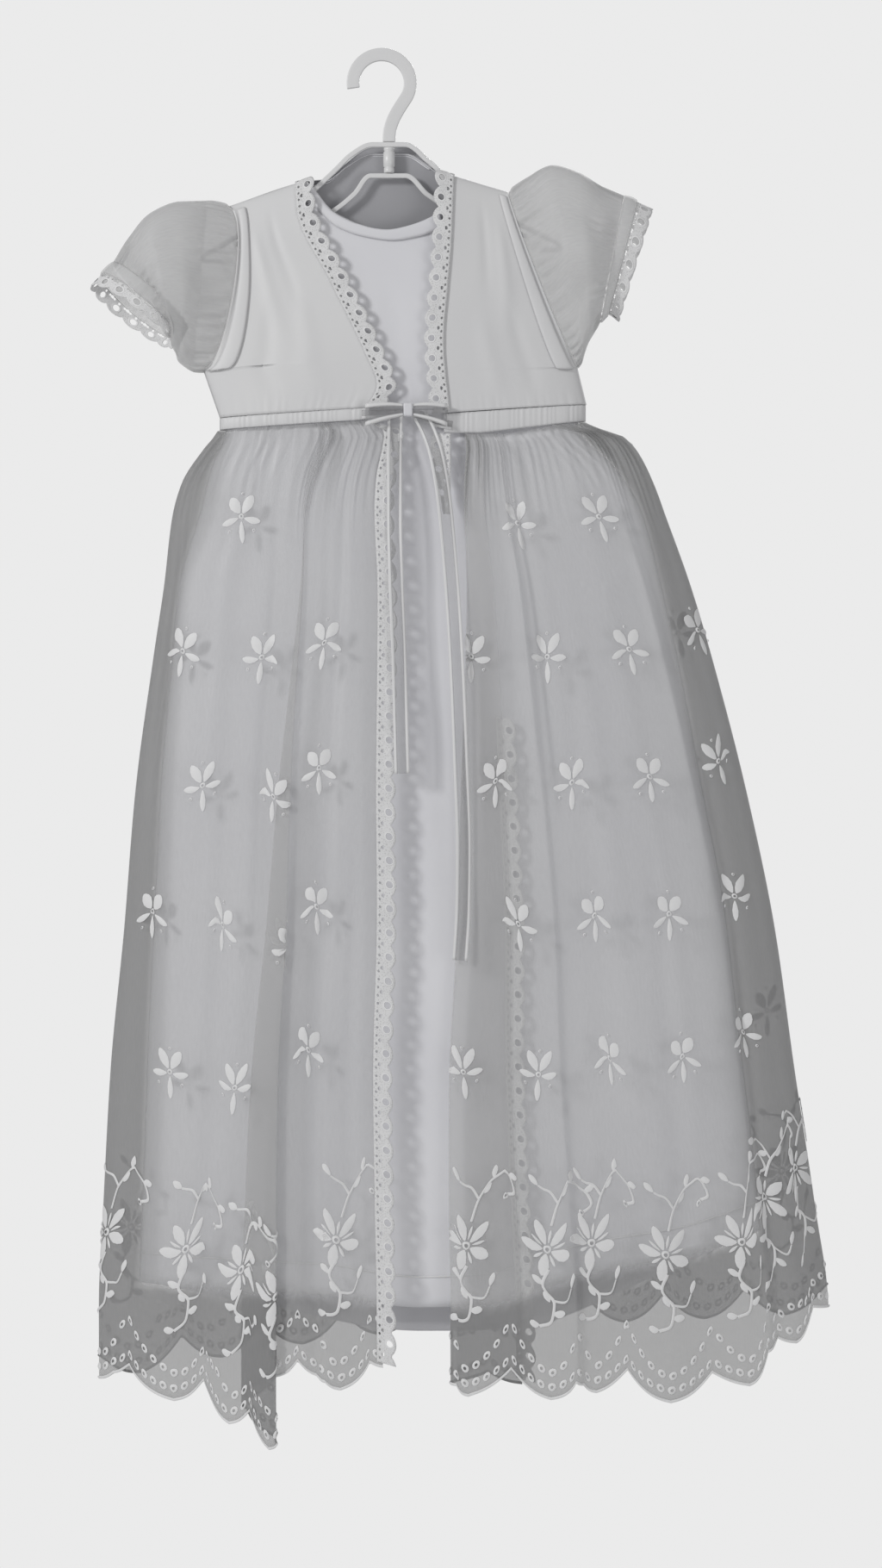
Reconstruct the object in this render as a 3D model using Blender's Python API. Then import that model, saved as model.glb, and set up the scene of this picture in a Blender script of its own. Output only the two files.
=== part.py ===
"""Christening gown on a child's plastic hanger.

Two layers make the gown: a satin under-gown, sleeveless, with a bound neck and a long skirt, and
a sheer over-gown that is open down the front, with puffed sleeves, lace edges and narrow ties.
Metres, +Z up, the front faces -Y. Left and right are as seen from the front. The origin is the
point of the hook that bears on a peg.
"""

import math
from collections import namedtuple

import bmesh
import bpy
from mathutils import Vector

# Cloth and plastic thicknesses, and the gaps between pieces.
CLOTH = 0.0012
LACE = 0.0010
RIBBON = 0.0008
SEAM = 0.0003

# Hanger.
HOOK_INNER_R = 0.015
HOOK_WIDTH = 0.0085
HOOK_DEPTH = 0.004
BAR_WIDTH = 0.0033
BAR_DEPTH = 0.0028
TIP_WIDTH = 0.0026
HOOK_FOOT = (0.005, -0.0545)
# Open triangle at each end of the hanger, from the end of its arm: outward, up.
TIP_RING = ((0.0006, -0.0003), (0.0085, -0.0046), (0.0099, -0.0060), (0.0098, -0.0078),
            (0.0080, -0.0086), (-0.0030, -0.0086))

# Widths of the trims.
LACE_WIDTH = 0.0135
LACE_OVERLAP = 0.004
TIE_WIDTH = 0.010
TRIM_LIFT = LACE + SEAM + 0.0001
BAND_LIFT = TRIM_LIFT + 0.0005

# A side seam stands this share of the width in from the outline, where the wall turns round.
SIDE_SHARE = 0.004
# How square the section is at the waist and at the hem: 2 is an ellipse.
WAIST_SQUARENESS = 2.6
HEM_SQUARENESS = 2.0

# An armhole runs from the shoulder to the underarm, bowed sideways and opened front and back.
Arm = namedtuple("Arm", "top_x top_z bottom_x bottom_z bow front back")
OVER_ARM_LEFT = Arm(-0.103, -0.0980, -0.120, -0.209, 0.013, 0.0120, 0.0105)
OVER_ARM_RIGHT = Arm(0.085, -0.0885, 0.132, -0.207, -0.0035, 0.0120, 0.0105)
UNDER_ARM_LEFT = Arm(-0.093, -0.0963, -0.108, -0.200, 0.012, 0.0065, 0.0060)
UNDER_ARM_RIGHT = Arm(0.076, -0.0897, 0.121, -0.199, -0.003, 0.0065, 0.0060)
# Turns round an armhole, in degrees, at which a bodice has a row; then shares down its side.
ARM_TURNS = (8.0, 18.0, 40.0, 65.0, 90.0, 120.0, 150.0, 180.0)
SIDE_ROWS = (0.5, 1.0)
SHOULDER_Y = 0.00035
# Below 1, the shoulder and the underarm are rounder.
ROUNDING = 0.6

Body = namedtuple("Body", "left right waist_left waist_right front front_waist back back_waist")
OVER_BODY = Body(OVER_ARM_LEFT, OVER_ARM_RIGHT, (-0.109, -0.2407), (0.138, -0.2317),
                 0.0145, 0.0175, 0.0130, 0.0155)
UNDER_BODY = Body(UNDER_ARM_LEFT, UNDER_ARM_RIGHT, (-0.104, -0.2380), (0.131, -0.2340),
                  0.0085, 0.0115, 0.0080, 0.0105)

# Neck edges of the two over-gown fronts: z, x.
NECK_LEFT = ((-0.0815, -0.054), (-0.100, -0.053), (-0.150, -0.030), (-0.198, -0.007),
             (-0.220, 0.001), (-0.2347, -0.006))
NECK_RIGHT = ((-0.0765, 0.045), (-0.125, 0.043), (-0.150, 0.041), (-0.190, 0.038),
              (-0.2385, 0.042))
# Top edges that cross the whole body: x, z, depth of the neck edge from the shoulder line.
OVER_BACK_TOP = ((-0.103, -0.0980, 0.0), (-0.054, -0.0815, 0.0008), (-0.046, -0.0800, 0.0025),
                 (-0.0365, -0.0785, 0.0060), (-0.028, -0.0705, 0.0080),
                 (-0.0058, -0.0565, 0.0100), (0.0157, -0.0565, 0.0100),
                 (0.032, -0.0670, 0.0080), (0.040, -0.0730, 0.0060), (0.045, -0.0765, 0.0025),
                 (0.056, -0.0798, 0.0008), (0.085, -0.0885, 0.0))
UNDER_BACK_TOP = ((-0.093, -0.0963, 0.0), (-0.052, -0.0840, 0.0008), (-0.046, -0.0835, 0.0026),
                  (-0.0365, -0.0815, 0.0030), (-0.024, -0.0710, 0.0045),
                  (-0.0058, -0.0620, 0.0055), (0.0157, -0.0620, 0.0055),
                  (0.032, -0.0710, 0.0045), (0.048, -0.0815, 0.0026), (0.054, -0.0832, 0.0008),
                  (0.076, -0.0897, 0.0))
UNDER_FRONT_TOP = ((-0.093, -0.0963, 0.0), (-0.052, -0.0835, 0.0008), (-0.046, -0.0900, 0.0035),
                   (-0.040, -0.0980, 0.0050), (-0.034, -0.1035, 0.0065),
                   (-0.018, -0.1110, 0.0080), (0.0035, -0.1150, 0.0085),
                   (0.018, -0.1123, 0.0080), (0.0365, -0.1050, 0.0065),
                   (0.048, -0.0945, 0.0040), (0.054, -0.0832, 0.0008), (0.076, -0.0897, 0.0))
# Rows of the under-gown's panels that its neck binding covers.
BINDING_ROWS = 4

# Lower edge of the over-gown's waistband: x, z, height of the band.
WAISTBAND = ((-0.109, -0.2490, 0.0080), (-0.008, -0.2430, 0.0080), (0.042, -0.2520, 0.0130),
             (0.067, -0.2520, 0.0147), (0.138, -0.2430, 0.0110))
WAISTBAND_BACK = ((-0.109, -0.2490, 0.0080), (0.138, -0.2430, 0.0110))
BAND_GAP = 1.5 * SEAM
BAND_LEFT_END = -0.008
BAND_RIGHT_START = 0.042

# Sections of the skirts: z, left and right outline, reach of the front and of the back.
OVER_SECTIONS = (
    (-0.2465, -0.1090, 0.1375, 0.0175, 0.0155),
    (-0.2520, -0.1120, 0.1610, 0.0190, 0.0165),
    (-0.2610, -0.1195, 0.1710, 0.0215, 0.0180),
    (-0.2840, -0.1345, 0.1830, 0.0255, 0.0205),
    (-0.3070, -0.1410, 0.1915, 0.0280, 0.0225),
    (-0.3530, -0.1465, 0.2080, 0.0315, 0.0245),
    (-0.4000, -0.1535, 0.2220, 0.0345, 0.0260),
    (-0.4930, -0.1660, 0.2460, 0.0385, 0.0285),
    (-0.5850, -0.1735, 0.2650, 0.0415, 0.0305),
    (-0.6780, -0.1825, 0.2780, 0.0440, 0.0320),
    (-0.7710, -0.1875, 0.2920, 0.0460, 0.0330),
    (-0.8390, -0.1905, 0.3010, 0.0475, 0.0340),
    (-0.9300, -0.1900, 0.3020, 0.0490, 0.0345),
)
UNDER_SECTIONS = (
    (-0.2383, -0.104, 0.131, 0.0115, 0.0105),
    (-0.2500, -0.105, 0.134, 0.0120, 0.0110),
    (-0.2740, -0.115, 0.158, 0.0140, 0.0120),
    (-0.3020, -0.122, 0.175, 0.0155, 0.0130),
    (-0.3540, -0.137, 0.189, 0.0180, 0.0145),
    (-0.4180, -0.143, 0.203, 0.0210, 0.0160),
    (-0.4870, -0.149, 0.216, 0.0240, 0.0175),
    (-0.5670, -0.153, 0.231, 0.0265, 0.0185),
    (-0.6440, -0.157, 0.240, 0.0285, 0.0195),
    (-0.7300, -0.160, 0.250, 0.0300, 0.0205),
    (-0.8600, -0.165, 0.262, 0.0315, 0.0215),
)

# Lines that a skirt's cloth follows from the waist to the hem, from left to right along the
# cloth: share of the width at the waist and at the hem, lift off the section there, hem height.
Line = namedtuple("Line", "waist hem waist_lift hem_lift hem_z")
OVER_LEFT_LINES = (
    Line(0.000, 0.000, 0.0000, 0.0000, -0.887),
    Line(0.004, 0.004, 0.0000, 0.0000, -0.887),
    Line(0.020, 0.022, 0.0000, 0.0000, -0.882),
    Line(0.045, 0.045, 0.0000, 0.0005, -0.876),
    Line(0.095, 0.106, 0.0000, 0.0030, -0.898),
    Line(0.140, 0.147, 0.0005, 0.0015, -0.884),
    Line(0.185, 0.182, 0.0000, 0.0050, -0.912),
    Line(0.222, 0.210, 0.0010, 0.0075, -0.903),
    Line(0.255, 0.236, 0.0020, 0.0085, -0.928),
    Line(0.272, 0.246, 0.0020, 0.0070, -0.925),
    Line(0.278, 0.242, 0.0012, 0.0048, -0.920),
    Line(0.288, 0.206, 0.0002, 0.0036, -0.902),
    Line(0.298, 0.199, -0.0008, 0.0018, -0.899),
    Line(0.306, 0.205, -0.0005, 0.0000, -0.897),
    Line(0.325, 0.245, 0.0000, 0.0000, -0.881),
    Line(0.345, 0.275, 0.0010, 0.0015, -0.870),
    Line(0.362, 0.300, 0.0000, -0.0015, -0.880),
    Line(0.375, 0.312, 0.0010, 0.0025, -0.884),
    Line(0.395, 0.333, 0.0000, 0.0015, -0.889),
    Line(0.415, 0.372, 0.0005, 0.0000, -0.871),
    Line(0.430, 0.390, 0.0000, 0.0000, -0.874),
)
OVER_RIGHT_LINES = (
    Line(0.645, 0.578, -0.0036, -0.0085, -0.886),
    Line(0.635, 0.532, -0.0036, -0.0085, -0.878),
    Line(0.620, 0.490, -0.0030, -0.0075, -0.884),
    Line(0.613, 0.481, -0.0014, -0.0040, -0.885),
    Line(0.619, 0.489, 0.0000, -0.0003, -0.886),
    Line(0.636, 0.505, 0.0005, 0.0000, -0.893),
    Line(0.652, 0.563, 0.0000, 0.0005, -0.875),
    Line(0.668, 0.616, 0.0005, 0.0030, -0.895),
    Line(0.682, 0.650, 0.0010, 0.0055, -0.884),
    Line(0.694, 0.661, 0.0000, 0.0010, -0.886),
    Line(0.708, 0.678, 0.0000, 0.0000, -0.891),
    Line(0.745, 0.720, 0.0010, 0.0010, -0.876),
    Line(0.795, 0.778, 0.0000, 0.0030, -0.898),
    Line(0.845, 0.835, 0.0010, 0.0005, -0.879),
    Line(0.890, 0.886, 0.0000, 0.0030, -0.888),
    Line(0.918, 0.912, 0.0010, 0.0040, -0.866),
    Line(0.932, 0.926, 0.0000, 0.0005, -0.857),
    Line(0.960, 0.952, 0.0005, 0.0010, -0.861),
    Line(0.980, 0.976, 0.0000, 0.0000, -0.838),
    Line(0.996, 0.996, 0.0000, 0.0000, -0.839),
    Line(1.000, 1.000, 0.0000, 0.0000, -0.839),
)
# Hems of the plainer panels: share across, hem height.
OVER_BACK_HEM = ((0.0, -0.882), (0.15, -0.868), (0.5, -0.848), (0.85, -0.841), (1.0, -0.834))
UNDER_FRONT_HEM = ((0.0, -0.822), (0.14, -0.825), (0.3, -0.828), (0.45, -0.836), (0.55, -0.834),
                   (0.70, -0.815), (0.87, -0.803), (1.0, -0.787))
UNDER_BACK_HEM = ((0.0, -0.822), (0.2, -0.840), (0.45, -0.858), (0.6, -0.856), (0.8, -0.825),
                  (1.0, -0.787))
SCALLOP_DEPTH = 0.019
BACK_SCALLOPS = 9
OVER_BACK_FOLDS = (5.0, 0.0005, 0.0045)
UNDER_FRONT_FOLDS = (6.0, 0.0004, 0.0016)
UNDER_BACK_FOLDS = (5.0, 0.0004, 0.0014)
# The right front's lace before its edge turns under: z, how far it stands out past the fold.
UPPER_LACE = ((-0.2525, 1.0), (-0.266, 1.0), (-0.280, 0.85), (-0.294, 0.5), (-0.307, 0.1))
UPPER_LACE_LIFT = 0.0022
LOWER_LACE_ROW = 3
FRONT_ROWS = 9
BACK_ROWS = 7
UNDER_ROWS = 6

# Rings of a sleeve after its armhole: top and bottom point, reach to the front and back, and how
# far the front rim is turned up. The last three are the cuff seam, the lace seam and the tips.
Ring = namedtuple("Ring", "top_x top_z bottom_x bottom_z front back lean")
SLEEVE_LEFT = (
    Ring(-0.116, -0.0945, -0.126, -0.2095, 0.023, 0.0180, 0.000),
    Ring(-0.135, -0.0948, -0.133, -0.2060, 0.033, 0.0250, 0.001),
    Ring(-0.156, -0.1030, -0.138, -0.2000, 0.035, 0.0270, 0.002),
    Ring(-0.1705, -0.1195, -0.137, -0.1920, 0.030, 0.0240, 0.003),
    Ring(-0.181, -0.1365, -0.131, -0.1790, 0.020, 0.0170, 0.004),
    Ring(-0.189, -0.1445, -0.137, -0.1865, 0.019, 0.0165, 0.005),
    Ring(-0.1965, -0.1520, -0.1405, -0.1930, 0.019, 0.0165, 0.005),
)
SLEEVE_RIGHT = (
    Ring(0.098, -0.0795, 0.135, -0.2035, 0.023, 0.0180, 0.0),
    Ring(0.115, -0.0705, 0.137, -0.1970, 0.031, 0.0250, 0.0),
    Ring(0.132, -0.0750, 0.1395, -0.1900, 0.033, 0.0270, 0.0),
    Ring(0.149, -0.0855, 0.1435, -0.1830, 0.028, 0.0240, 0.0),
    Ring(0.163, -0.0915, 0.147, -0.1760, 0.019, 0.0165, 0.0),
    Ring(0.172, -0.0950, 0.1525, -0.1710, 0.018, 0.0155, 0.0),
    Ring(0.183, -0.1000, 0.160, -0.1760, 0.018, 0.0155, 0.0),
)
SLEEVE_COLUMNS = 20
CUFF_STATION = 5.0
LACE_STATION = 6.0
TIP_STATION = 7.0
STATION_GAP = 0.025

# Ties: how far in front of the middle plane the tails, the loops and the knot lie.
TAIL_REACH = 0.0206
LOOP_REACH = (0.0264, 0.0224)
KNOT_REACH = (0.0283, 0.0203)
KNOT = (0.018, -0.2370)
KNOT_SIZE = (0.006, 0.0085)
KNOT_TIE_WIDTH = 0.0055
LOOP_LEFT_END = -0.0105
LOOP_RIGHT_END = 0.0440
# Routes of the two ties as x, reach and z, then of the two tails as x and z.
TIE_LEFT = ((-0.0130, 0.0182, -0.2396), (0.0000, 0.0185, -0.2390), (0.0100, 0.0190, -0.2385),
            (0.0160, 0.0196, -0.2384))
TIE_RIGHT = ((0.0200, 0.0196, -0.2384), (0.0260, 0.0187, -0.2400), (0.0370, 0.0185, -0.2450),
             (0.0475, 0.0185, -0.2470))
TAIL_RIGHT = ((0.0258, -0.2400), (0.0310, -0.2500), (0.036, -0.264), (0.041, -0.290),
              (0.046, -0.340), (0.050, -0.400), (0.053, -0.470), (0.055, -0.528),
              (0.0545, -0.570), (0.0525, -0.604))
TAIL_LEFT = ((0.0094, -0.2400), (0.0092, -0.2500), (0.009, -0.270), (0.009, -0.310),
             (0.010, -0.350), (0.012, -0.400), (0.013, -0.440), (0.014, -0.480))
TAIL_LIFT = 0.0045


def material(name, colour, roughness, alpha=1.0):
    """A plain finish for one kind of cloth or plastic."""
    made = bpy.data.materials.new(name)
    made.use_nodes = True
    shader = made.node_tree.nodes["Principled BSDF"]
    shader.inputs["Base Color"].default_value = (*colour, 1.0)
    shader.inputs["Roughness"].default_value = roughness
    shader.inputs["Alpha"].default_value = alpha
    return made


def lerp(start, end, share):
    return start + (end - start) * share


def lookup(rows, at, column=1):
    """The value of one column where the first column of a table, rising or falling, is at."""
    falling = rows[-1][0] < rows[0][0]
    for before, after in zip(rows, rows[1:]):
        inside = at >= after[0] if falling else at <= after[0]
        if inside:
            break
    share = (at - before[0]) / (after[0] - before[0])
    return lerp(before[column], after[column], min(max(share, 0.0), 1.0))


def swell(share, squareness):
    """How far a rounded section reaches, from 0 at its two sides to 1 in its middle."""
    return max(0.0, 1.0 - abs(2.0 * share - 1.0) ** squareness) ** (1.0 / squareness)


def sheet(name, points, finish, thickness, wrap=False, facing_back=False, centred=False, even=True):
    """A cloth wall through columns of points; its outer face is on the points."""
    columns, rows = len(points) - 1, len(points[0]) - 1
    shape = bmesh.new()
    bmesh.ops.create_grid(shape, x_segments=columns, y_segments=rows, size=0.5)
    for vertex in shape.verts:
        column = round((vertex.co.x + 0.5) * columns)
        row = round((0.5 - vertex.co.y) * rows)
        vertex.co = points[column][row]
    if wrap:
        bmesh.ops.remove_doubles(shape, verts=shape.verts, dist=1e-6)
    if facing_back:
        bmesh.ops.reverse_faces(shape, faces=shape.faces)
    mesh = bpy.data.meshes.new(name)
    shape.to_mesh(mesh)
    shape.free()
    mesh.shade_smooth()
    mesh.set_sharp_from_angle(angle=math.radians(50))
    mesh.materials.append(finish)
    piece = bpy.data.objects.new(name, mesh)
    bpy.context.scene.collection.objects.link(piece)
    wall = piece.modifiers.new("wall", "SOLIDIFY")
    wall.thickness = thickness
    wall.offset = 0.0 if centred else -1.0
    wall.use_even_offset = even
    return piece


def armhole(arm, turn, front=True):
    """A point of an armhole: 0 is the shoulder and pi the underarm."""
    along = (1.0 - math.cos(turn)) / 2.0
    reach = -arm.front if front else arm.back
    sine = abs(math.sin(turn))
    return Vector((lerp(arm.top_x, arm.bottom_x, along) + arm.bow * sine,
                   reach * sine ** ROUNDING,
                   lerp(arm.top_z, arm.bottom_z, along)))


def body_rows():
    """Rows of a bodice: degrees round the armhole, or None with the share down the side."""
    return [(0.0, None)] + [(turn, None) for turn in ARM_TURNS] + [(None, s) for s in SIDE_ROWS]


def side_point(arm, waist, row, front):
    """The edge of a bodice at a row: on its armhole, or on its side seam below it."""
    turn, down = row
    if turn is not None:
        return armhole(arm, math.radians(max(turn, ARM_TURNS[0])), front)
    return Vector((lerp(arm.bottom_x, waist[0], down), 0.0, lerp(arm.bottom_z, waist[1], down)))


def on_side_seam(row):
    return row[0] is None or row[0] >= 180.0


def body_depth(body, row, front):
    """Reach of a bodice's middle at a row: none at the shoulder, full from the mid-armhole."""
    turn, down = row
    rise = 1.0 if turn is None else math.sin(math.radians(min(turn, 90.0))) ** ROUNDING
    fall = 0.5 + 0.5 * down if turn is None else 0.5 * turn / 180.0
    top = body.front if front else body.back
    waist = body.front_waist if front else body.back_waist
    return rise, rise * lerp(top, waist, fall)


def body_y(left, right, depth, share, on_side):
    """Distance of a bodice from its middle plane at a share of its whole width."""
    if share <= 0.0 or share >= 1.0:
        edge = left if share <= 0.0 else right
        return SEAM / 2 if on_side else max(abs(edge.y), SEAM / 2)
    edge = lerp(abs(left.y), abs(right.y), share)
    return max(edge + (depth - edge) * swell(share, WAIST_SQUARENESS), SEAM / 2)


def front_panel(body, neck, on_left, columns):
    """Points of a front that ends at a neck edge; columns are shares of its own width."""
    points = []
    rows = body_rows()
    for column in columns:
        line = []
        for row in rows:
            left = side_point(body.left, body.waist_left, row, True)
            right = side_point(body.right, body.waist_right, row, True)
            outer, arm = (left, body.left) if on_left else (right, body.right)
            waist_z = body.waist_left[1] if on_left else body.waist_right[1]
            down = (outer.z - arm.top_z) / (waist_z - arm.top_z)
            neck_z = lerp(neck[0][0], neck[-1][0], down)
            across = column
            if on_side_seam(row):
                across = max(column, SIDE_SHARE)
            x = lerp(outer.x, lookup(neck, neck_z), across)
            z = lerp(outer.z, neck_z, across)
            share = (x - left.x) / (right.x - left.x)
            if column == 0.0:
                share = 0.0 if on_left else 1.0
            y = body_y(left, right, body_depth(body, row, True)[1], share, on_side_seam(row))
            if row[0] == 0.0:
                y = SHOULDER_Y
            line.append(Vector((x, -y, z)))
        points.append(line)
    return points if on_left else points[::-1]


def whole_panel(body, top, front, columns):
    """Points of a front or back that crosses the whole body under a shaped top edge."""
    points = []
    for column in columns:
        line = []
        for row in body_rows():
            left = side_point(body.left, body.waist_left, row, front)
            right = side_point(body.right, body.waist_right, row, front)
            on_side = on_side_seam(row)
            inset = SIDE_SHARE if on_side else 0.0
            across = min(max(column, inset), 1.0 - inset)
            x = lerp(left.x, right.x, across)
            z = lerp(left.z, right.z, across)
            top_x = lerp(body.left.top_x, body.right.top_x, column)
            straight = lerp(body.left.top_z, body.right.top_z, column)
            down = (body.left.top_z - left.z) / (body.left.top_z - body.waist_left[1])
            neck_y = lookup(top, top_x, 2)
            if row[0] == 0.0 and neck_y > 0.0:
                down = 0.0
                z = straight
            z += (lookup(top, top_x) - straight) * (1.0 - down) ** 3
            rise, depth = body_depth(body, row, front)
            y = body_y(left, right, depth, column, on_side)
            if row[0] == 0.0:
                y = SHOULDER_Y
            y += neck_y * (1.0 - rise)
            line.append(Vector((x, -y if front else y, z)))
        points.append(line)
    return points


def shaped_columns(top):
    """Shares across a body panel: close at the two sides, and one at each row of its top edge."""
    width = top[-1][0] - top[0][0]
    inner = [(row[0] - top[0][0]) / width for row in top[1:-1]]
    sides = (0.0, SIDE_SHARE, 0.03, 0.11)
    return list(sides) + inner + [1.0 - share for share in reversed(sides)]


def ease(down):
    """How far a skirt's line has moved from its waist place to its hem place."""
    return 1.0 - (1.0 - down) ** 2


def skirt_point(sections, z, share, lift, front):
    """A point of a skirt at a height and a share of its width, lifted off its section."""
    left = lookup(sections, z, 1)
    right = lookup(sections, z, 2)
    depth = lookup(sections, z, 3 if front else 4)
    down = (z - sections[0][0]) / (sections[-1][0] - sections[0][0])
    squareness = lerp(WAIST_SQUARENESS, HEM_SQUARENESS, min(1.0, 4.0 * max(0.0, down)))
    across = min(max(share, SIDE_SHARE), 1.0 - SIDE_SHARE)
    x = lerp(left, right, across)
    if share <= 0.0 or share >= 1.0:
        y = SEAM / 2
    else:
        y = depth * swell(share, squareness) + lift
    return Vector((x, -y if front else y, z))


def skirt_downs(rows):
    """Shares down a skirt, closer together under the waist."""
    return [(row / rows) ** 1.9 for row in range(rows + 1)]


def lined_skirt(lines):
    """Points of an over-gown front, whose cloth follows its table of lines."""
    waist = OVER_SECTIONS[0]
    points = []
    for line in lines:
        top = lookup(WAISTBAND, lerp(waist[1], waist[2], line.waist)) - BAND_GAP
        column = []
        for down in skirt_downs(FRONT_ROWS):
            share = lerp(line.waist, line.hem, ease(down))
            lift = lerp(line.waist_lift, line.hem_lift, ease(down))
            column.append(skirt_point(OVER_SECTIONS, lerp(top, line.hem_z, down), share, lift, True))
        points.append(column)
    return points


def plain_skirt(sections, tops, hem, folds, columns, rows, front, scallops=0):
    """Points of a skirt panel across the whole body, with soft folds that deepen to the hem."""
    count, waist_lift, hem_lift = folds
    points = []
    for column in columns:
        top = lerp(tops[0], tops[1], column)
        hem_z = lookup(hem, column)
        if scallops:
            hem_z += SCALLOP_DEPTH * (0.5 - abs(math.cos(math.pi * scallops * column)))
        fade = swell(column, HEM_SQUARENESS)
        wave = math.sin(math.tau * count * column) * fade
        line = []
        for down in skirt_downs(rows):
            lift = wave * lerp(waist_lift, hem_lift, down)
            line.append(skirt_point(sections, lerp(top, hem_z, down), column, lift, front))
        points.append(line)
    return points


def even_columns(count):
    """Shares across a panel, with the places near its two sides where its wall turns."""
    turn = (0.0, SIDE_SHARE, 0.018, 0.045)
    inner = [lerp(0.09, 0.91, step / count) for step in range(count + 1)]
    return list(turn) + inner + [1.0 - share for share in reversed(turn)]


def sleeve_point(arm, rings, station, turn, side):
    """A point of a sleeve: station 0 is the armhole and the rings follow it."""
    sine = math.sin(turn)
    front = sine > 0.0
    start = armhole(arm, turn, front) + Vector((side * 2.6 * SEAM, 0.0, 0.0))
    places = [start]
    for ring in rings:
        along = (1.0 - math.cos(turn)) / 2.0
        reach = -ring.front if front else ring.back
        places.append(Vector((lerp(ring.top_x, ring.bottom_x, along) - side * 0.5 * ring.lean * sine,
                              reach * abs(sine),
                              lerp(ring.top_z, ring.bottom_z, along) + ring.lean * sine)))
    index = min(int(station), len(places) - 2)
    return places[index].lerp(places[index + 1], station - index)


def sleeve_piece(name, arm, rings, side, stations, finish, thickness):
    """A tube of a sleeve between two stations."""
    points = []
    for step in range(SLEEVE_COLUMNS + 1):
        turn = math.tau * step / SLEEVE_COLUMNS
        points.append([sleeve_point(arm, rings, station, turn, side) for station in stations])
    return sheet(name, points, finish, thickness, wrap=True, facing_back=side > 0)


def outward(points, column, row, across, front=True):
    """The direction out of a panel at one of its edge points."""
    line = points[column]
    down = line[min(row + 1, len(line) - 1)] - line[max(row - 1, 0)]
    normal = down.cross(across).normalized()
    return normal if front else -normal


def edge_trim(points, at_end, first_row=0):
    """Points of a lace sewn on a panel's edge: it overlaps the panel and stands out past it."""
    edge, inner = (-1, -2) if at_end else (0, 1)
    trim = []
    for share in (-1.0, 0.0, 1.0):
        line = []
        for row in range(first_row, len(points[0])):
            facet = points[edge][row] - points[inner][row]
            away = facet.normalized()
            overlap = min(LACE_OVERLAP, 0.8 * facet.length)
            reach = -overlap if share < 0.0 else share * (LACE_WIDTH - LACE_OVERLAP)
            across = away if at_end else -away
            place = points[edge][row] + away * reach
            line.append(place + outward(points, edge, row, across) * TRIM_LIFT)
        trim.append(line)
    return trim if at_end else trim[::-1]


def upper_lace():
    """Points of the right front's lace beside the fold, down to where it passes behind it."""
    columns = []
    for share in (-1.0, 0.0, 1.0):
        line = []
        for z, stands in UPPER_LACE:
            past = LACE_OVERLAP if share < 0.0 else -share * stands * (LACE_WIDTH - LACE_OVERLAP)
            reach = lookup(OVER_SECTIONS, z, 3) + UPPER_LACE_LIFT
            line.append(Vector((BAND_RIGHT_START + 0.0005 + past, -reach, z)))
        columns.append(line)
    return columns[::-1]


def panel_trim(points, first, last, rows, front=True):
    """Points of a band that lies on a panel between two of its columns, moved out."""
    trim = []
    for column in range(first, last + 1):
        before = points[max(column - 1, 0)]
        after = points[min(column + 1, len(points) - 1)]
        line = []
        for row in rows:
            across = after[row] - before[row]
            away = outward(points, column, row, across, front)
            line.append(points[column][row] + away * BAND_LIFT)
        trim.append(line)
    return trim


def waistband(name, start, end, finish, front, steps):
    """A straight band between the bodice and the skirt."""
    waist = OVER_SECTIONS[0]
    points = []
    for share in steps:
        share = lerp(start, end, share)
        x = lerp(waist[1], waist[2], share)
        table = WAISTBAND if front else WAISTBAND_BACK
        low = lookup(table, x)
        high = low + lookup(table, x, 2)
        line = []
        for z in (high, low):
            place = skirt_point(OVER_SECTIONS, waist[0], share, 0.0, front)
            line.append(Vector((place.x, place.y, z)))
        points.append(line)
    return sheet(name, points, finish, CLOTH, facing_back=not front)


def strip(name, path, width, depth, finish):
    """A flat plastic strip along a path in the XZ plane, as deep as given along Y."""
    points = [[], []]
    for index, place in enumerate(path):
        before = Vector(path[max(index - 1, 0)])
        after = Vector(path[min(index + 1, len(path) - 1)])
        along = (after - before).normalized()
        side = Vector((-along.y, along.x)) * width / 2
        for line, sign in ((points[0], -1), (points[1], 1)):
            line.append(Vector((place[0] + sign * side.x, 0.0, place[1] + sign * side.y)))
    return sheet(name, points, finish, depth, centred=True)


def ribbon(name, path, width, finish):
    """A ribbon along a path of points, with its width level and square to the path."""
    points = [[], []]
    for index, place in enumerate(path):
        along = path[min(index + 1, len(path) - 1)] - path[max(index - 1, 0)]
        side = along.cross(Vector((0.0, 1.0, 0.0))).normalized() * width / 2
        points[0].append(place - side)
        points[1].append(place + side)
    return sheet(name, points, finish, RIBBON, centred=True)


def turned_solid(name, profile, centre, finish, sides=16):
    """A solid turned about a vertical axis from rows of radius and height."""
    shape = bmesh.new()
    outline = [shape.verts.new((radius, 0.0, height)) for radius, height in profile]
    edges = [shape.edges.new(pair) for pair in zip(outline, outline[1:])]
    bmesh.ops.spin(shape, geom=outline + edges, cent=(0, 0, 0), axis=(0, 0, 1),
                   angle=math.tau, steps=sides, use_merge=True)
    bmesh.ops.remove_doubles(shape, verts=shape.verts, dist=1e-6)
    bmesh.ops.recalc_face_normals(shape, faces=shape.faces)
    bmesh.ops.translate(shape, verts=shape.verts, vec=centre)
    mesh = bpy.data.meshes.new(name)
    shape.to_mesh(mesh)
    shape.free()
    mesh.materials.append(finish)
    piece = bpy.data.objects.new(name, mesh)
    bpy.context.scene.collection.objects.link(piece)
    return piece


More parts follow.
